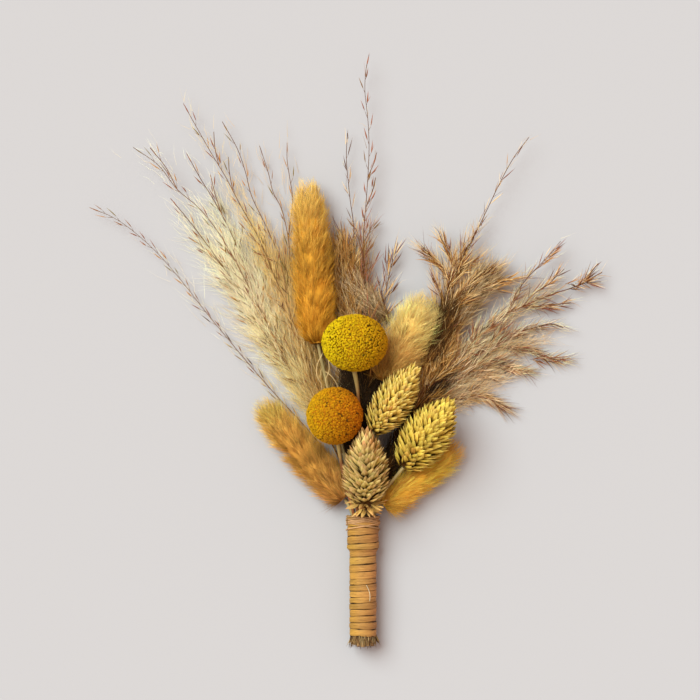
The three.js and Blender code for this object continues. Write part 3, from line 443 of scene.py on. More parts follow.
def add_tube(soup, line, radii, colours, sides, rib_depth=0, capped=True):
    """A round stalk along a line, with fine ribs, and flat ends. colours are linear, one each ring."""
    k = len(line)
    directions = unit(np.gradient(line, axis=0))
    angles = TAU * np.arange(sides) / sides
    wave = rib_depth * np.cos(STEM_RIBS * angles)
    rings = line[:, None] + (radii[:, None] * (1 + wave))[:, :, None] * around(directions, angles)
    # the grooves between ribs are painted darker: painted shade in the creases
    groove = 1 - 1.1 * (rib_depth - wave)
    tints = np.broadcast_to(colours, (k, 3))[:, None] * groove[:, None]
    places = cell(np.zeros(1, int), np.broadcast_to(np.arange(sides) / sides, (k, sides)),
                  np.broadcast_to(np.linspace(0, 1, k)[:, None], (k, sides)), 1)
    soup.add(rings, tints, places, ring_faces(k, sides)[0])
    if capped:
        i = np.arange(sides)
        j = (i + 1) % sides
        for end, inward, a, b in ((0, 0.12, j, i), (k - 1, -0.12, i, j)):
            rim, pith = rings[end], line[end] + directions[end] * inward
            points = np.concatenate([rim, rim * 0.45 + pith * 0.55, pith[None]])
            # each cut end is painted lighter at its rim and darker towards its sunken middle: painted highlight and
            # painted shade
            shade = np.repeat([1.15, 0.55, 0.4], [sides, sides, 1])[:, None] * tints[end, 0]
            along = np.linspace(0, 1, len(points))
            soup.add(points, shade, cell(np.zeros(1, int), along, along, 1),
                     np.stack([a, b, b + sides, a + sides], 1),
                     np.stack([a + sides, b + sides, np.full(sides, 2 * sides)], 1))


# ---- Materials ----

def node(tree, kind, **values):
    made = tree.nodes.new(kind)
    for key, value in values.items():
        if hasattr(made, key):
            setattr(made, key, value)
        else:
            made.inputs[key.replace("_", " ")].default_value = value
    return made


def plant_material(name, roughness, grain, contrast, bump, gain=1.0, stretch=(1, 1, 1)):
    """Tints from the mesh, with fine grain and wider blotches over them."""
    material = bpy.data.materials.new(name)
    material.use_nodes = True
    tree = material.node_tree
    link = tree.links.new
    shader = tree.nodes["Principled BSDF"]
    tint = node(tree, "ShaderNodeAttribute", attribute_name="tint")
    place = node(tree, "ShaderNodeTexCoord")
    mapping = node(tree, "ShaderNodeMapping", Scale=stretch)
    fine = node(tree, "ShaderNodeTexNoise", Scale=grain, Detail=6.0, Roughness=0.65)
    wide = node(tree, "ShaderNodeTexNoise", Scale=grain * 0.09, Detail=3.0)
    link(place.outputs["Object"], mapping.inputs["Vector"])
    both = node(tree, "ShaderNodeMath", operation="MULTIPLY")
    for factor, noise, amount, level in zip(both.inputs, (fine, wide), (contrast, contrast * 0.7), (1.0, gain)):
        spread = node(tree, "ShaderNodeMapRange", From_Min=0.3, From_Max=0.7,
                      To_Min=level * (1 - amount), To_Max=level * (1 + amount * 0.8))
        link(mapping.outputs["Vector"], noise.inputs["Vector"])
        link(noise.outputs["Fac"], spread.inputs["Value"])
        link(spread.outputs["Result"], factor)
    shaded = node(tree, "ShaderNodeVectorMath", operation="SCALE")
    link(tint.outputs["Color"], shaded.inputs[0])
    link(both.outputs["Value"], shaded.inputs["Scale"])
    link(shaded.outputs["Vector"], shader.inputs["Base Color"])
    rough = node(tree, "ShaderNodeMapRange", To_Min=roughness - 0.12, To_Max=roughness + 0.12)
    link(fine.outputs["Fac"], rough.inputs["Value"])
    link(rough.outputs["Result"], shader.inputs["Roughness"])
    if bump:
        raised = node(tree, "ShaderNodeBump", Strength=bump, Distance=0.0003)
        link(fine.outputs["Fac"], raised.inputs["Height"])
        link(raised.outputs["Normal"], shader.inputs["Normal"])
    shader.inputs["Specular IOR Level"].default_value = 0.12
    return material


MATERIALS = {
    "raffia": plant_material("raffia_fibre", 0.5, 900, 0.34, 0.6, 0.54, stretch=(0.3, 3, 0.3)),
    "stem": plant_material("dry_stem", 0.6, 700, 0.2, 0.4, 0.75, stretch=(1, 0.25, 1)),
    "glume": plant_material("canary_glume", 0.7, 1100, 0.14, 0.35, 0.8),
    "floret": plant_material("billy_floret", 0.85, 1400, 0.1, 0.3, 0.61),
    "fur": plant_material("bunny_fur", 0.8, 500, 0.1, 0, 0.96),
    "spray": plant_material("reed_spray", 0.8, 600, 0.12, 0),
}


# ---- Stems ----

def on_handle(radius, angle, y):
    """Points about the axis of the binding."""
    return np.stack(np.broadcast_arrays(radius * np.cos(angle), y, HANDLE_HEIGHT + radius * np.sin(angle)), -1)


def held_points(name, held):
    """A stem's way through the binding, from its cut end to the mouth."""
    ring, degrees = held
    y = np.array([-BINDING_LENGTH - 2.6 - 1.3 * random_of(name).random(), -THICK_LENGTH, 0])
    spread = 1 + 0.15 * np.clip(1 + y / THICK_LENGTH, 0, 1)
    return on_handle(ring * STEM_SPACING * spread, math.radians(degrees), y)


def make_stem(name, plant, end):
    soup = Soup()
    rng = random_of(name + "stem")
    line, _, place = spaced(smooth([*held_points(name, plant["held"]), *plant["route"], end]), 0.9)
    radii = STEM_RADIUS * (0.97 - 0.12 * place + 0.03 * np.sin(place * 40 + rng.random() * 6))
    at, stops = [0, 1], [(170, 130, 82), (196, 172, 112)]
    if "attach" in plant:  # a billy button's stem turns reddish and swells under its head
        radii = radii * (1 + 0.5 * np.clip(place * 9 - 8, 0, 1))
        at, stops = [0, 0.6, 0.88, 0.96], [(170, 130, 82), (156, 92, 50), (166, 104, 60), (212, 184, 112)]
    colours = np.stack([np.interp(place, at, linear(stops)[:, k]) for k in range(3)], 1)
    colours = colours * (1 + 0.08 * np.sin(place * 23 + 6 * rng.random())[:, None])
    add_tube(soup, line, radii, colours, sides=16, rib_depth=0.045)
    soup.piece(name + "_stalk", MATERIALS["stem"], "stem", name + "_stem")


# ---- Heads ----

def head_frame(plant):
    base, tip = np.array(plant["base"], float), np.array(plant["tip"], float)
    return base, tip, unit(tip - base)


def add_core(soup, plant, profile, share, colour, steps=24, reach=0.97):
    """The smooth body under a head's scales or hairs."""
    base, tip, _ = head_frame(plant)
    place = np.linspace(0, 1, steps)
    radii = plant["radius"] * share * profile_at(profile, place)
    radii[-1] = 0.01
    line = base + (tip - base) * place[:, None] * reach
    add_tube(soup, line, radii, linear(colour), sides=24)


def on_head(plant, place, angle):
    """The axis point and the outward direction at places and angles of a head."""
    base, tip, direction = head_frame(plant)
    outward = around(direction, angle)
    return base + (tip - base) * place[:, None], outward, direction, np.cross(direction, outward)


def make_tail(name, plant):
    """A soft ovoid of fine hairs in small tufts, all leaning to the tip, with long fine awns."""
    rng = random_of(name)
    soup = Soup()
    base, tip, direction = head_frame(plant)
    length = np.linalg.norm(tip - base)
    add_core(soup, plant, TAIL_PROFILE, 0.66, tuple(0.95 * c for c in plant["high"]), reach=0.86)
    tufts = int(length * plant["radius"] * TUFTS_PER_AREA)
    n = tufts * HAIRS_IN_TUFT

    def to_hairs(values):
        return np.repeat(values, HAIRS_IN_TUFT)

    def by_tuft(spread):
        return to_hairs(rng.normal(0, spread, tufts))

    # each hair ends on the head's outline and starts lower down, nearer the middle
    ends = to_hairs(even_places(TAIL_PROFILE, tufts)) + by_tuft(1.4 / length) + rng.normal(0, 0.9 / length, n)
    ends = np.clip(ends, 0.005, 1.015)
    starts = np.clip(ends - rng.uniform(4, 8.5, n) / length, 0, 0.93)
    middle = to_hairs(np.arange(tufts) * GOLDEN_ANGLE)
    loosened = np.interp(ends, [0.8, 0.97], [1, 5])
    angle = middle + rng.normal(0, 0.2, n) * loosened
    turned = middle + 0.3 + by_tuft(0.16) + rng.normal(0, 0.15, n) * loosened
    axis, outward, _, _ = on_head(plant, starts, angle)
    width = plant["radius"] * profile_at(TAIL_PROFILE, starts)
    roots = axis + outward * (width * rng.uniform(0.35, 0.55, n))[:, None]
    axis, outward, _, _ = on_head(plant, ends, turned)
    full = plant["radius"] * plant["full"] * profile_at(TAIL_PROFILE, ends)
    tips = axis + outward * (full * np.clip(rng.normal(0.93, 0.17, n) + by_tuft(0.06), 0.45, 1.45))[:, None]
    s = np.linspace(0, 1, 4)[None, :, None]
    bow = outward * (full * 0.28 * rng.uniform(0.4, 1.2, n))[:, None] + rng.normal(0, 0.2, (n, 3))
    lines = above_surface(roots[:, None] * (1 - s) + tips[:, None] * s + bow[:, None] * 2.4 * s * (1 - s))
    zone = np.clip((ends + rng.normal(0, 0.06, n)) * PALETTE, 0, PALETTE - 1).astype(int)
    shades = zone * PALETTE + (to_hairs(rng.integers(0, PALETTE, tufts)) + (rng.random(n) < 0.3)) % PALETTE
    low, high, end = (np.array(plant[key], float) for key in ("low", "high", "end"))
    colours = palette([(low * 0.82, low * 0.6 + end * 0.4), (low * 0.84, high * 0.7 + end * 0.3),
                       (high * 0.88, high * 0.6 + end * 0.4), (end * 0.9, end)], 0.46, len(name))
    add_strands(soup, lines, tapered(rng.uniform(0.05, 0.09, n), 4, 0.2), shades, colours)
    awns = int(length * AWNS_PER_MM)
    pick = rng.integers(0, n, awns)
    way = unit(unit(tips - roots)[pick] + 0.3 * outward[pick] + rng.normal(0, 0.12, (awns, 3)))
    add_strands(soup, bent(roots[pick], way, rng.uniform(5, 9.5, awns) * np.clip(1.3 - ends[pick], 0.3, 1),
                           rng.normal(0, 0.6, (awns, 3)), 5),
                tapered(rng.uniform(0.045, 0.075, awns), 5), shades[pick],
                colours * plant.get("awns", 0.6))
    soup.piece(name + "_fur", MATERIALS["fur"], "bunny_tail", name)
    make_stem(name, plant, base - 0.45 * direction)


def make_canary(name, plant):
    """An egg-shaped head of overlapping keeled glumes."""
    rng = random_of(name)
    soup = Soup()
    # the core is dark brown: painted shade seen in the gaps between the glumes
    add_core(soup, plant, CANARY_PROFILE, 0.58, (84, 52, 12), steps=20)
    count = GLUMES
    place = even_places(CANARY_PROFILE, count) * 0.97
    angle = np.arange(count) * GOLDEN_ANGLE + rng.normal(0, 0.09, count)
    place = place + rng.normal(0, 0.008, count)
    full = plant["radius"] * profile_at(CANARY_PROFILE, place)
    axis, outward, direction, sideways = on_head(plant, place, angle)
    size = np.interp(profile_at(CANARY_PROFILE, place), [0.1, 1], [0.66, 1]) * plant["radius"] / 7.6
    size *= np.interp(place, [0, 0.35], [0.8, 1])
    length, width = 6.4 * size, 2.95 * size
    roots = axis + outward * (full * 0.5)[:, None] - direction * 1.2
    ahead = plant["radius"] * profile_at(CANARY_PROFILE, np.minimum(place + 0.14, 1)) * 0.5 + full * 0.5
    ahead *= np.interp(place, [0, 0.5, 1], [1.1, 1.05, 1]) * rng.uniform(0.94, 1.12, count)
    rise = length * np.interp(place, [0, 0.4, 1], [0.34, 0.54, 0.72])
    tips = axis + outward * ahead[:, None] + direction * rise[:, None]
    tips += sideways * rng.normal(0, 0.45, count)[:, None]
    skirt = rng.random(count) < plant.get("skirt", 0) * (place < 0.13)
    fall = rng.uniform(0.2, 1, (skirt.sum(), 1))
    tips[skirt] += outward[skirt] * (1.8 - 1.4 * fall) - direction * 5.5 * fall
    along = unit(tips - roots)
    across = unit(np.cross(along, outward) + outward * rng.normal(0, 0.3, count)[:, None])
    face = np.cross(across, along)
    face *= np.sign(np.sum(face * outward, 1, keepdims=True))
    # a folded papery blade: sharp keel, thin edges, pointed tip
    rows, columns = 8, 7
    u = np.linspace(-1, 1, columns)[None, None, :]
    s = np.linspace(0, 1, rows)[None, :, None]
    half = np.where(s < 0.42, (s / 0.42) ** 0.6, (np.maximum(1 - s, 0) / 0.58) ** 0.72)
    fold = (1 - np.abs(u) ** 0.8) * np.sin(np.pi * np.clip(s, 0.02, 0.98) ** 0.8) ** 0.7
    x = (width / 2)[:, None, None] * u * half
    z = size[:, None, None] * (0.62 * fold + 0.25 * s ** 3)
    reach = np.linalg.norm(tips - roots, axis=1)[:, None, None] * np.broadcast_to(s, (1, rows, columns))
    points = (roots[:, None, None] + across[:, None, None] * x[..., None] + face[:, None, None] * z[..., None]
              + along[:, None, None] * reach[..., None])
    body, green, tip = linear(plant["body"]), linear(plant["keel"]), linear(plant["tips"])
    stripe = (np.exp(-((np.abs(u) - 0.45) / 0.22) ** 2) * np.sin(np.pi * s ** 0.9))[..., None]
    shade = rng.uniform(0.74, 1.18, (count, 1, 1, 1)) * (1 + rng.normal(0, 0.03, (count, 1, 1, 3)))
    blushed = rng.random(count) < np.interp(place, [0.62, 0.85], [0.03, plant.get("blush", 0.05)])
    for some, tone in ((blushed, (0.84, 0.64, 0.62)), (skirt, (0.78, 0.62, 0.56))):
        shade = shade * np.where(some[:, None, None, None], tone, 1)
    # each glume's lower part, deep in the head, fades to dark brown: painted shade, kept light on the skirt's outward
    # glumes
    hollow = np.maximum(np.clip((s - 0.2) * 2.8, 0, 1), 0.8 * skirt[:, None, None])[..., None]
    tints = (body * (1 - 0.7 * stripe) + green * 0.7 * stripe) * hollow + linear((74, 42, 6)) * (1 - hollow)
    tints = (tints * (1 - s[..., None] ** 4) + tip * s[..., None] ** 4) * shade
    places = cell(np.arange(count)[:, None, None], (u + 1) / 2, s, count)
    soup.add(points, tints, places, repeated(grid_faces(rows, columns), count, rows * columns))
    soup.piece(name + "_glumes", MATERIALS["glume"], "canary_grass", name)
    make_stem(name, plant, np.array(plant["base"]) - 0.45 * head_frame(plant)[2])


def make_button(name, plant):
    """A ball packed with tiny cupped florets."""
    rng = random_of(name)
    soup = Soup()
    count, sides = FLORETS, 5
    centre, radii = np.array(plant["centre"], float), np.array(plant["radii"], float) - 0.55
    height = 1 - 2 * (np.arange(count) + 0.5) / count
    angle = np.arange(count) * GOLDEN_ANGLE
    spot = np.stack([np.sqrt(1 - height ** 2) * np.cos(angle), np.sqrt(1 - height ** 2) * np.sin(angle), height], 1)
    spot = unit(spot + rng.normal(0, 0.02, (count, 3)))
    normal = unit(spot / radii)
    out = around(normal, rng.uniform(0, TAU, count)[:, None] + TAU * np.arange(sides) / sides)
    size = rng.uniform(0.42, 0.66, count)[:, None, None] * radii.mean() / 10.6
    rise = rng.normal(0, 0.1, count)[:, None, None]
    root = centre + spot * radii
    lobes = 1 + 0.1 * rng.normal(0, 1, (count, sides, 1))
    # a floret's rings, from its foot to its hollow middle: width, height and painted shade, darker at the foot
    # between florets and in the hollow middle, lighter at the rim
    levels = [(0.7, -0.7, 0.6), (0.78, 0.1, 0.8), (0.5, 0.66, 1.08), (0.22, 0.46, 0.9)]
    rings = [root[:, None] + out * r * size * lobes + normal[:, None] * (h * size + rise) for r, h, _ in levels]
    middle = root[:, None] + normal[:, None] * (0.32 * size + rise)
    points = np.concatenate([*rings, middle], 1)
    each = [sides] * len(levels) + [1]
    light = np.repeat([*(shade for _, _, shade in levels), 0.45], each)[None, :, None]
    # colour runs from left to right across the ball: painted shade on its right side
    share = np.clip((spot[:, :1] + 1) / 2 + 0.1 * rng.normal(0, 1, (count, 1)), 0, 1)[:, None]
    colour = linear(plant["left"]) * (1 - share) + linear(plant["right"]) * share
    dark = np.where(rng.random(count) < 0.025, 0.22, rng.uniform(0.72, 1.14, count))[:, None, None]
    along = np.repeat([0, 0.3, 0.6, 0.85, 1], each)
    turned = np.concatenate([np.tile(np.arange(sides) / (sides - 1), len(levels)), [0.5]])
    soup.add(points, colour * light * dark, cell(np.arange(count)[:, None], turned, along, count),
             *(repeated(faces, count, sum(each)) for faces in ring_faces(len(levels), sides)))
    # the ball under the florets is darker still: painted shade in the gaps between them
    ball_height = np.linspace(-0.999, 0.999, 24)
    line = centre + np.array([0, 0, 1]) * ball_height[:, None] * (radii[2] - 0.1)
    add_tube(soup, line, (radii[:2].min() - 0.1) * np.sqrt(1 - ball_height ** 2), linear(plant["right"]) * 0.8, 32)
    soup.piece(name + "_florets", MATERIALS["floret"], plant["slot"], name)
    outward = unit(np.array(plant["attach"], float))
    make_stem(name, plant, centre + outward * (np.linalg.norm(outward * plant["radii"]) - 0.45))


# ---- Sprays ----

def mixed(near, far, spread, seed):
    """Shades picked at random from two lists of colours, the first list for the first zones."""
    rng = np.random.default_rng(seed)
    tones = np.empty((SHADES, 3))
    for index in range(SHADES):
        some = far if rng.random() < (index / SHADES - 0.5) * 4 else near
        tones[index] = linear(some[rng.integers(len(some))]) * (1 + spread * rng.uniform(-1, 1))
    return np.stack([tones * 0.85, tones * 1.15], 1)


class Places:
    """Points on a spray's branches, each with its way and one value: a side or an amount."""

    def __init__(self):
        self.kept = []

    def add(self, points, ways, values):
        self.kept.append((points, ways, np.broadcast_to(values, len(points))))

    def all(self):
        return [np.concatenate(part) for part in zip(*self.kept)]


def zones(rng, plant, points):
    """A shade for each point, from zones near the binding to zones at the tips."""
    far = np.hypot(points[:, 0], points[:, 1]) + rng.normal(0, 9, len(points))
    zone = np.clip(far / (plant["haze"][2] + 10) * PALETTE, 0, PALETTE - 1).astype(int)
    return zone * PALETTE + rng.integers(0, PALETTE, len(points))


def seat_tuft(rng, seats, points, along, count, back=4):
    """Seats for count spikelets at each point, up to back mm before it."""
    points, along = np.repeat(points, count, 0), np.repeat(along, count, 0)
    before = rng.uniform(0, back, (len(points), 1)) * (count > 1)
    seats.add(points - along * before, along, rng.choice([-1.0, 1.0], len(points)))


def grow_branches(soup, rng, name, plant):
    """Stalks and branchlets, and the places of spikelets and of silky hairs on them."""
    seats, hairs = Places(), Places()
    stalk = np.array(plant["stalk"], float)
    _, _, full_to, _ = plant["haze"]
    for index, points in enumerate(plant["lines"]):
        control = [*held_points(name, plant["held"]), *points] if index == 0 else points
        curve = smooth(control)
        line, _, place = spaced(curve, 1.1)
        total = np.linalg.norm(np.diff(curve, axis=0), axis=1).sum()
        if index == 0:
            radii = np.interp(line[:, 1], [-10, 10, 40, 80, 150], [0.6, 0.38, 0.23, 0.16, 0.1]) * plant.get("slim", 1)
        else:
            radii = np.interp(place, [0, 1], [0.18, 0.11])
        tone = linear(stalk * 1.35) * (1 - place[:, None]) + linear(stalk) * place[:, None]
        add_tube(soup, line, radii, tone, sides=7 if index == 0 else 5, capped=index == 0)
        end_way = unit(curve[-1] - curve[-2])
        # spikelets on the branch and at its end
        nodes, along, at = spaced(curve, plant.get("pitch", 4.6))
        kept = (nodes[:, 1] > plant["bare"] - 14) & ((1 - at) * total > 5)
        seats.add(nodes[kept], along[kept], alternate(kept.sum()))
        seats.add((curve[-1] - end_way * 4.4)[None], end_way[None], 0)
        nodes, along, at = spaced(curve, 0.8)
        kept = nodes[:, 1] > plant["haze"][0]
        gain = plant.get("sparse", {}).get(index, 1)
        hairs.add(nodes[kept], along[kept], gain)
        if index and plant["cluster"] > 1:
            seat_tuft(rng, seats, curve[-1:] - end_way * 4, end_way[None], 14, back=9)
        # branchlets, to one side and the other
        nodes, along, at = spaced(curve, 4.5 if plant["cluster"] == 1 else 4.2)
        far = np.hypot(nodes[:, 0], nodes[:, 1])
        kept = (nodes[:, 1] > 14) & (far > 34) & (far < full_to + 12) & ((1 - at) * total > 16) & (at > 0.02)
        nodes, along = nodes[kept], along[kept]
        n = len(nodes)
        if n == 0 or plant["fluff"] < 0.2:
            continue
        across, up = cross_axes(along)
        tilt = rng.normal(0, 0.5, n)
        outward = across * (alternate(n) * np.cos(tilt))[:, None] + up * np.abs(np.sin(tilt))[:, None]
        lean = rng.uniform(0.22, 0.5, n)
        leaving = unit(along * np.cos(lean)[:, None] + outward * np.sin(lean)[:, None])
        twig = bent(nodes, leaving, rng.uniform(6, 11, n), rng.normal(0, 0.7, (n, 3)), 9)
        add_strands(soup, twig, tapered(np.full(n, 0.12), 9, 0.6), rng.integers(0, SHADES, n), plant["twigs"])
        heading = unit(np.gradient(twig, axis=1))
        for k in (4, 7):
            seat_tuft(rng, seats, twig[:, k], heading[:, k], plant["cluster"])
        for k in range(1, 9):
            hairs.add(twig[:, k], heading[:, k], gain * plant["silky"][1])
    return seats, hairs


def add_spikelets(soup, rng, plant, seats):
    """A short pedicel and a slender spikelet at each seat, some with a second scale."""
    spots, ways, sides = seats.all()
    m = len(spots)
    across, up = cross_axes(ways)
    side = across * sides[:, None] + up * (rng.normal(0.2, 0.5, m) * np.abs(sides))[:, None]
    reach = rng.uniform(*plant["pedicel"], m) * np.where(sides == 0, 0.2, 1)
    leaving = unit(ways + side * rng.uniform(0.3, 0.55, m)[:, None])
    add_strands(soup, bent(spots, leaving, reach, ways * 0.05, 3), tapered(np.full(m, 0.1), 3, 0.9),
                rng.integers(SHADES * 3 // 4, SHADES, m), plant["twigs"])
    base = spots + leaving * reach[:, None]
    heading = unit(0.45 * leaving + 0.55 * ways + side * rng.normal(0.04, plant["splay"], m)[:, None])
    size = np.where(sides == 0, 4.6, rng.uniform(*plant["spike"], m))
    swell = np.array([0.4, 1.0, 0.85, 0.45, 0.05]) * plant["plump"]
    add_strands(soup, bent(base, heading, size - 0.2 * reach, rng.normal(0, 0.12, (m, 3)), 5),
                np.broadcast_to(swell, (m, 5)) * rng.uniform(0.75, 1.2, (m, 1)),
                zones(rng, plant, base), plant["spikes"], 4)
    half = rng.random(m) < 0.4
    glumes = unit(heading[half] + side[half] * 0.22 + rng.normal(0, 0.08, (half.sum(), 3)))
    add_strands(soup, bent(base[half], glumes, size[half] * 0.6, ways[half] * 0.3, 5),
                np.broadcast_to(swell * 0.6, (half.sum(), 5)), zones(rng, plant, base[half]), plant["spikes"])


def add_silk(soup, rng, plant, hairs):
    """Long silky hairs, thickest in the middle of the spray, with coarser bristles among them."""
    roots, along, gains = hairs.all()
    far = np.hypot(roots[:, 0], roots[:, 1])
    amount = np.interp(far, plant["haze"], [0, 1, 1, 0.04])
    amount = amount * gains * plant["fluff"] * plant["silky"][0] * SILK_SHARE
    pick = np.repeat(np.arange(len(roots)), rng.poisson(amount))
    h = len(pick)
    across, up = cross_axes(along[pick])
    turn = rng.uniform(0, TAU, h)
    outward = across * np.cos(turn)[:, None] + up * (np.sin(turn) * 0.35 - 0.26)[:, None]
    lean = np.abs(rng.normal(0, 0.5, h)) + 0.03
    way = unit(along[pick] + outward * lean[:, None])
    reach = rng.uniform(*plant["strand"], h) * np.interp(far[pick], plant["haze"][2:], [1, 0.6])
    shift = rng.normal(0, plant["loose"], (h, 3)) * FLATTENED
    lines = above_surface(bent(roots[pick] + shift - [0, 0, plant["sunk"]], way, reach,
                               rng.normal(0, 1.1, (h, 3)) - outward * (reach * 0.1)[:, None], 3))
    coarse = rng.random(h) < plant["bristles"]
    fine = ~coarse
    add_strands(soup, lines[fine], tapered(rng.uniform(0.035, 0.06, h), 3, 0.35)[fine],
                zones(rng, plant, roots[pick])[fine], plant["silks"])
    if coarse.any():
        lines = above_surface(bent(roots[pick] + shift * 0.6 + [0, 0, 0.3], way, np.minimum(reach, 8),
                                   rng.normal(0, 0.9, (h, 3)), 4))
        add_strands(soup, lines[coarse], tapered(rng.uniform(0.07, 0.14, h), 4, 0.3)[coarse],
                    zones(rng, plant, roots[pick])[coarse], plant["spikes"])


def add_tangle(soup, rng, tangle, stops, thickness=(0.05, 0.15), scatter=0.26):
    """Strands that lie across one another along a line. tangle is start, end, half width and count."""
    start, end, spread, count = tangle
    start, end = np.array(start, float), np.array(end, float)
    thick = rng.uniform(*thickness, count)
    roots = start + (end - start) * rng.random((count, 1)) + rng.uniform(-1, 1, (count, 3)) * (spread, 2, 2.2)
    way = unit(unit(end - start) + rng.normal(0, scatter, (count, 3)) * FLATTENED)
    lines = above_surface(bent(roots, way, rng.uniform(5, 11, count), rng.normal(0, 1.6, (count, 3)), 4))
    add_strands(soup, lines, tapered(thick, 4, 0.3), rng.integers(0, SHADES, count), palette(stops, 0.35, 17))


def make_spray(name, plant):
    """Branched stalks with short branchlets, slender spikelets and long silky hairs."""
    rng, soup = random_of(name), Soup()
    stalk = np.array(plant["stalk"], float)
    plant = dict(plant, twigs=palette([(stalk * 1.55, stalk * 1.5), (stalk * 1.15, stalk * 1.05)], 0.2, 3),
                 spikes=mixed(plant["near"], plant["far"], 0.14, 5),
                 silks=palette(plant["silk"], plant["streaks"], 7))
    seats, hairs = grow_branches(soup, rng, name, plant)
    add_spikelets(soup, rng, plant, seats)
    add_silk(soup, rng, plant, hairs)
    for *tangle, stops in plant.get("tangles", []):
        add_tangle(soup, rng, tangle, stops)
    for veil in plant.get("veils", []):
        add_tangle(soup, rng, veil, VEIL, thickness=(0.035, 0.06), scatter=0.42)
    for curl in plant.get("curls", []):
        line = smooth(curl)
        add_tube(soup, line, np.full(len(line), 0.14), linear((214, 180, 122)), sides=6)
    soup.piece(name + "_plume", MATERIALS["spray"], plant["slot"], name)


# ---- Binding ----

def binding_radius(y):
    return np.interp(y, [-THICK_LENGTH - 0.7, -THICK_LENGTH + 0.7], [BINDING_RADIUS, THICK_RADIUS])


def add_strip(soup, rng):
    """One flat strip wound from the mouth to the cut ends, with fine fibres along it."""
    turns, steps, wide = len(TURN_EDGES) - 1, 84, 13
    t = np.linspace(0, turns - 1, (turns - 1) * steps + 1)
    turn, share = np.floor(t).astype(int), t % 1
    progress = turn + share + 0.8 * np.sin(TAU * share) / TAU
    numbers = np.arange(turns + 2)
    top = np.interp(progress, numbers[:-1], TURN_EDGES) * np.clip(t * 5 - 4, 0, 1)
    bottom = np.interp(progress + 1, numbers[:-1], TURN_EDGES)
    bottom += (TURN_EDGES[-1] - bottom) * np.clip((t - turns + 2) * 5, 0, 1)
    angle = TAU * t - math.pi / 2
    turn_shade = rng.uniform(0.86, 1.1, turns + 2)
    tilts = rng.normal(0, 0.3, turns + 2) * (numbers > 0)
    tilts[-2:] = 0
    across = np.cos(angle) * (np.sin(angle) > -0.6)
    top += across * np.interp(progress, numbers, tilts)
    bottom += across * np.interp(progress + 1, numbers, tilts)
    turn_hue = 1 + rng.normal(0, 0.02, (turns + 2, 3))
    # the groove between two turns is open in some places and closed in others; where it is open, the strip's edges
    # are painted darker as shade
    broken = np.interp(t * 11, np.arange(turns * 11 + 1), rng.uniform(0, 1, turns * 11 + 1))[:, None] ** 1.4
    w = np.linspace(0, 1, wide)
    gap = 0.008 + 0.08 * broken ** 2
    y = top[:, None] + (bottom - top)[:, None] * (gap + (1 - 2 * gap) * w)
    crown = 1 - np.abs(2 * w - 1) ** 5
    wander = t[:, None]
    folds = 0.035 * np.sin(w * 17 + 2.4 * np.sin(0.7 * wander) + wander) + 0.028 * np.sin(
        w * 31 + 5 * np.sin(0.31 * wander))
    radius = (binding_radius(y) + 0.04 - (0.05 + 0.2 * broken) * (1 - crown) + folds * crown
              + 0.09 * np.sin(2.1 * wander + 0.5))
    points = on_handle(radius, angle[:, None], y)
    fibres = 1 + 0.2 * np.sin(w * 44 + 3 * np.sin(0.23 * wander)) + 0.08 * np.sin(w * 71 + wander * 0.6)
    # painted shade on the strip's edges where the groove between turns opens
    groove_shade = 1 - (0.1 + 0.84 * broken) * (1 - np.clip(crown * 1.6, 0, 1))
    # the strip is yellower on its lit left side and pinker on its shaded right side: painted light and shade
    side = np.cos(angle)[:, None] * (0.0, -0.06, 0.28)
    tone = (linear(RAFFIA["strip"]) * (1 + side) * turn_hue[turn])[:, None]
    tints = tone * (turn_shade[turn][:, None] * fibres * groove_shade)[..., None]
    soup.add(points, tints, cell(turn[:, None], w[None], share[:, None] * 0.999, turns), grid_faces(len(t), wide))


def add_crossing_strands(soup, rng):
    """Strands that cross one another at the mouth."""
    sweep = np.linspace(-0.15, math.pi + 0.15, 40)
    for k in range(CROSSING_STRANDS):
        slant = rng.uniform(1.6, 4.4) * (1 if k % 2 else -1)
        middle = -rng.uniform(0.6, 4.2)
        y = np.clip(middle + slant * (sweep / math.pi - 0.5), -5.4, -0.25)
        line = on_handle(THICK_RADIUS + 0.2 + 0.08 * (k % 3), sweep, y)
        tone = linear(RAFFIA["crossing"]) * rng.uniform(0.8, 1.2)
        add_tube(soup, line, np.full(40, rng.uniform(0.16, 0.3)), tone, sides=6)


def add_frayed_ends(soup, rng):
    """Short rough fibres around the cut stems."""
    n = FRAYED_ENDS
    angle, share = rng.uniform(0, TAU, n), np.sqrt(rng.random(n))
    roots = on_handle(share * 4.5, angle, -BINDING_LENGTH + 0.9)
    out = on_handle(1, angle, 0) - [0, 0, HANDLE_HEIGHT]
    way = unit(out * rng.uniform(-0.25, 0.5, n)[:, None] + [0, -1.0, 0])
    add_strands(soup, bent(roots, way, rng.uniform(2.4, 5, n), rng.normal(0, 0.6, (n, 3)), 4),
                tapered(rng.uniform(0.16, 0.4, n), 4, 0.5), rng.integers(0, SHADES, n),
                palette(RAFFIA["ends"], 0.3, 13), 4)


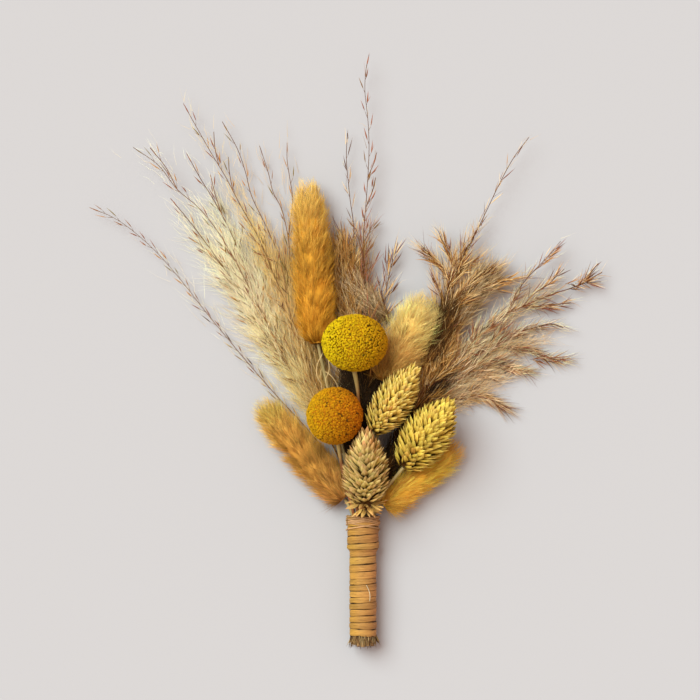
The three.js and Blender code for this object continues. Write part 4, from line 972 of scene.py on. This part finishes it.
def add_loose_fibres(soup, rng):
    """One loose strand on the upper side, and fine fibres that stand off the strip."""
    s = np.linspace(0, 1, 14)[:, None]
    loose = np.array([1.2, -24.8, 10.2]) + s * [1.2, -5.8, 0] + np.sin(s * math.pi) * [0.6, 0, 0.35]
    add_tube(soup, loose, np.full(14, 0.15), linear(RAFFIA["loose"]), sides=6)
    n = LOOSE_FIBRES
    angle = rng.uniform(0, math.pi, n)
    y = -rng.uniform(0.2, BINDING_LENGTH, n)
    roots = on_handle(binding_radius(y) - 0.1, angle, y)
    out = on_handle(1, angle, 0) - [0, 0, HANDLE_HEIGHT]
    tangent = np.cross(out, [0, 1.0, 0]) * rng.choice([-1, 1], n)[:, None]
    way = unit(tangent + out * 0.25 + np.array([0, 1.0, 0]) * rng.normal(0, 0.5, n)[:, None])
    add_strands(soup, bent(roots, way, rng.uniform(0.8, 2.4, n), -out * 0.2, 5), tapered(np.full(n, 0.045), 5),
                rng.integers(0, SHADES, n), palette(RAFFIA["fibres"], 0.14, 11))


def make_binding():
    """A wound strip of raffia over a dark layer painted as the shade in its grooves, with crossing strands, frayed
    ends and loose fibres.
    """
    rng, soup = random_of("raffia_binding"), Soup()
    add_strip(soup, rng)
    y = np.linspace(0, -BINDING_LENGTH, 60)
    line = on_handle(0, 0, y)
    under = binding_radius(y)
    # the dark layer under the strip and the darker inside of the mouth are painted shade
    add_tube(soup, line, under - 0.3, linear(RAFFIA["under"]), sides=40, capped=False)
    add_tube(soup, line[::-1], under[::-1] - 0.62, linear(RAFFIA["inside"]), sides=40, capped=False)
    add_crossing_strands(soup, rng)
    add_frayed_ends(soup, rng)
    add_loose_fibres(soup, rng)
    soup.piece("raffia_wrap", MATERIALS["raffia"], "raffia", "raffia_binding")


# ---- Everything ----

make_binding()
for make, plants in ((make_canary, CANARY_HEADS), (make_button, BILLY_BUTTONS), (make_tail, BUNNY_TAILS),
                     (make_spray, SPRAYS)):
    for name, plant in plants.items():
        make(name, plant)


# ---- Surface, light and camera ----

def make_stage():
    mesh = bpy.data.meshes.new("surface")
    half = 4
    mesh.from_pydata([(-half, -half, 0), (half, -half, 0), (half, half, 0), (-half, half, 0)], [], [(0, 1, 2, 3)])
    floor = bpy.data.objects.new("surface", mesh)
    bpy.context.scene.collection.objects.link(floor)
    material = bpy.data.materials.new("pale_card")
    material.use_nodes = True
    tree = material.node_tree
    shader = tree.nodes["Principled BSDF"]
    noise = node(tree, "ShaderNodeTexNoise", Scale=6.0, Detail=4.0)
    ramp = node(tree, "ShaderNodeValToRGB")
    ramp.color_ramp.elements[0].color = (*linear((172.5, 169, 168)), 1)
    ramp.color_ramp.elements[1].color = (*linear((176.5, 172.5, 171)), 1)
    tree.links.new(noise.outputs["Fac"], ramp.inputs["Fac"])
    tree.links.new(ramp.outputs["Color"], shader.inputs["Base Color"])
    shader.inputs["Roughness"].default_value = 0.9
    shader.inputs["Specular IOR Level"].default_value = 0.2
    mesh.materials.append(material)


def make_light(name, place, angle, power, colour):
    data = bpy.data.lights.new(name, "SUN")
    data.angle, data.energy, data.color = angle, power, colour
    lamp = bpy.data.objects.new(name, data)
    lamp.location = place
    lamp.rotation_mode = "QUATERNION"
    lamp.rotation_quaternion = (-Vector(place)).to_track_quat("-Z", "Y")
    bpy.context.scene.collection.objects.link(lamp)


def make_camera():
    data = bpy.data.cameras.new("camera")
    data.lens, data.sensor_width = 200, 36
    data.clip_start, data.clip_end = 0.01, 20
    camera = bpy.data.objects.new("camera", data)
    distance = PICTURE_WIDTH * data.lens / data.sensor_width
    camera.location = (np.array(PICTURE_MIDDLE) + [0, 0, distance]) * MM + MOUTH
    bpy.context.scene.collection.objects.link(camera)
    bpy.context.scene.camera = camera


scene = bpy.context.scene
world = bpy.data.worlds.new("room")
world.use_nodes = True
room = world.node_tree.nodes["Background"]
room.inputs["Color"].default_value = (1.0, 0.79, 0.71, 1)
room.inputs["Strength"].default_value = 0.81
scene.world = world
scene.view_settings.view_transform = "Standard"
make_stage()
make_light("window", place=(-0.65, 0.58, 1.1), angle=0.8, power=4.25, colour=(0.823, 0.988, 1.04))
make_camera()
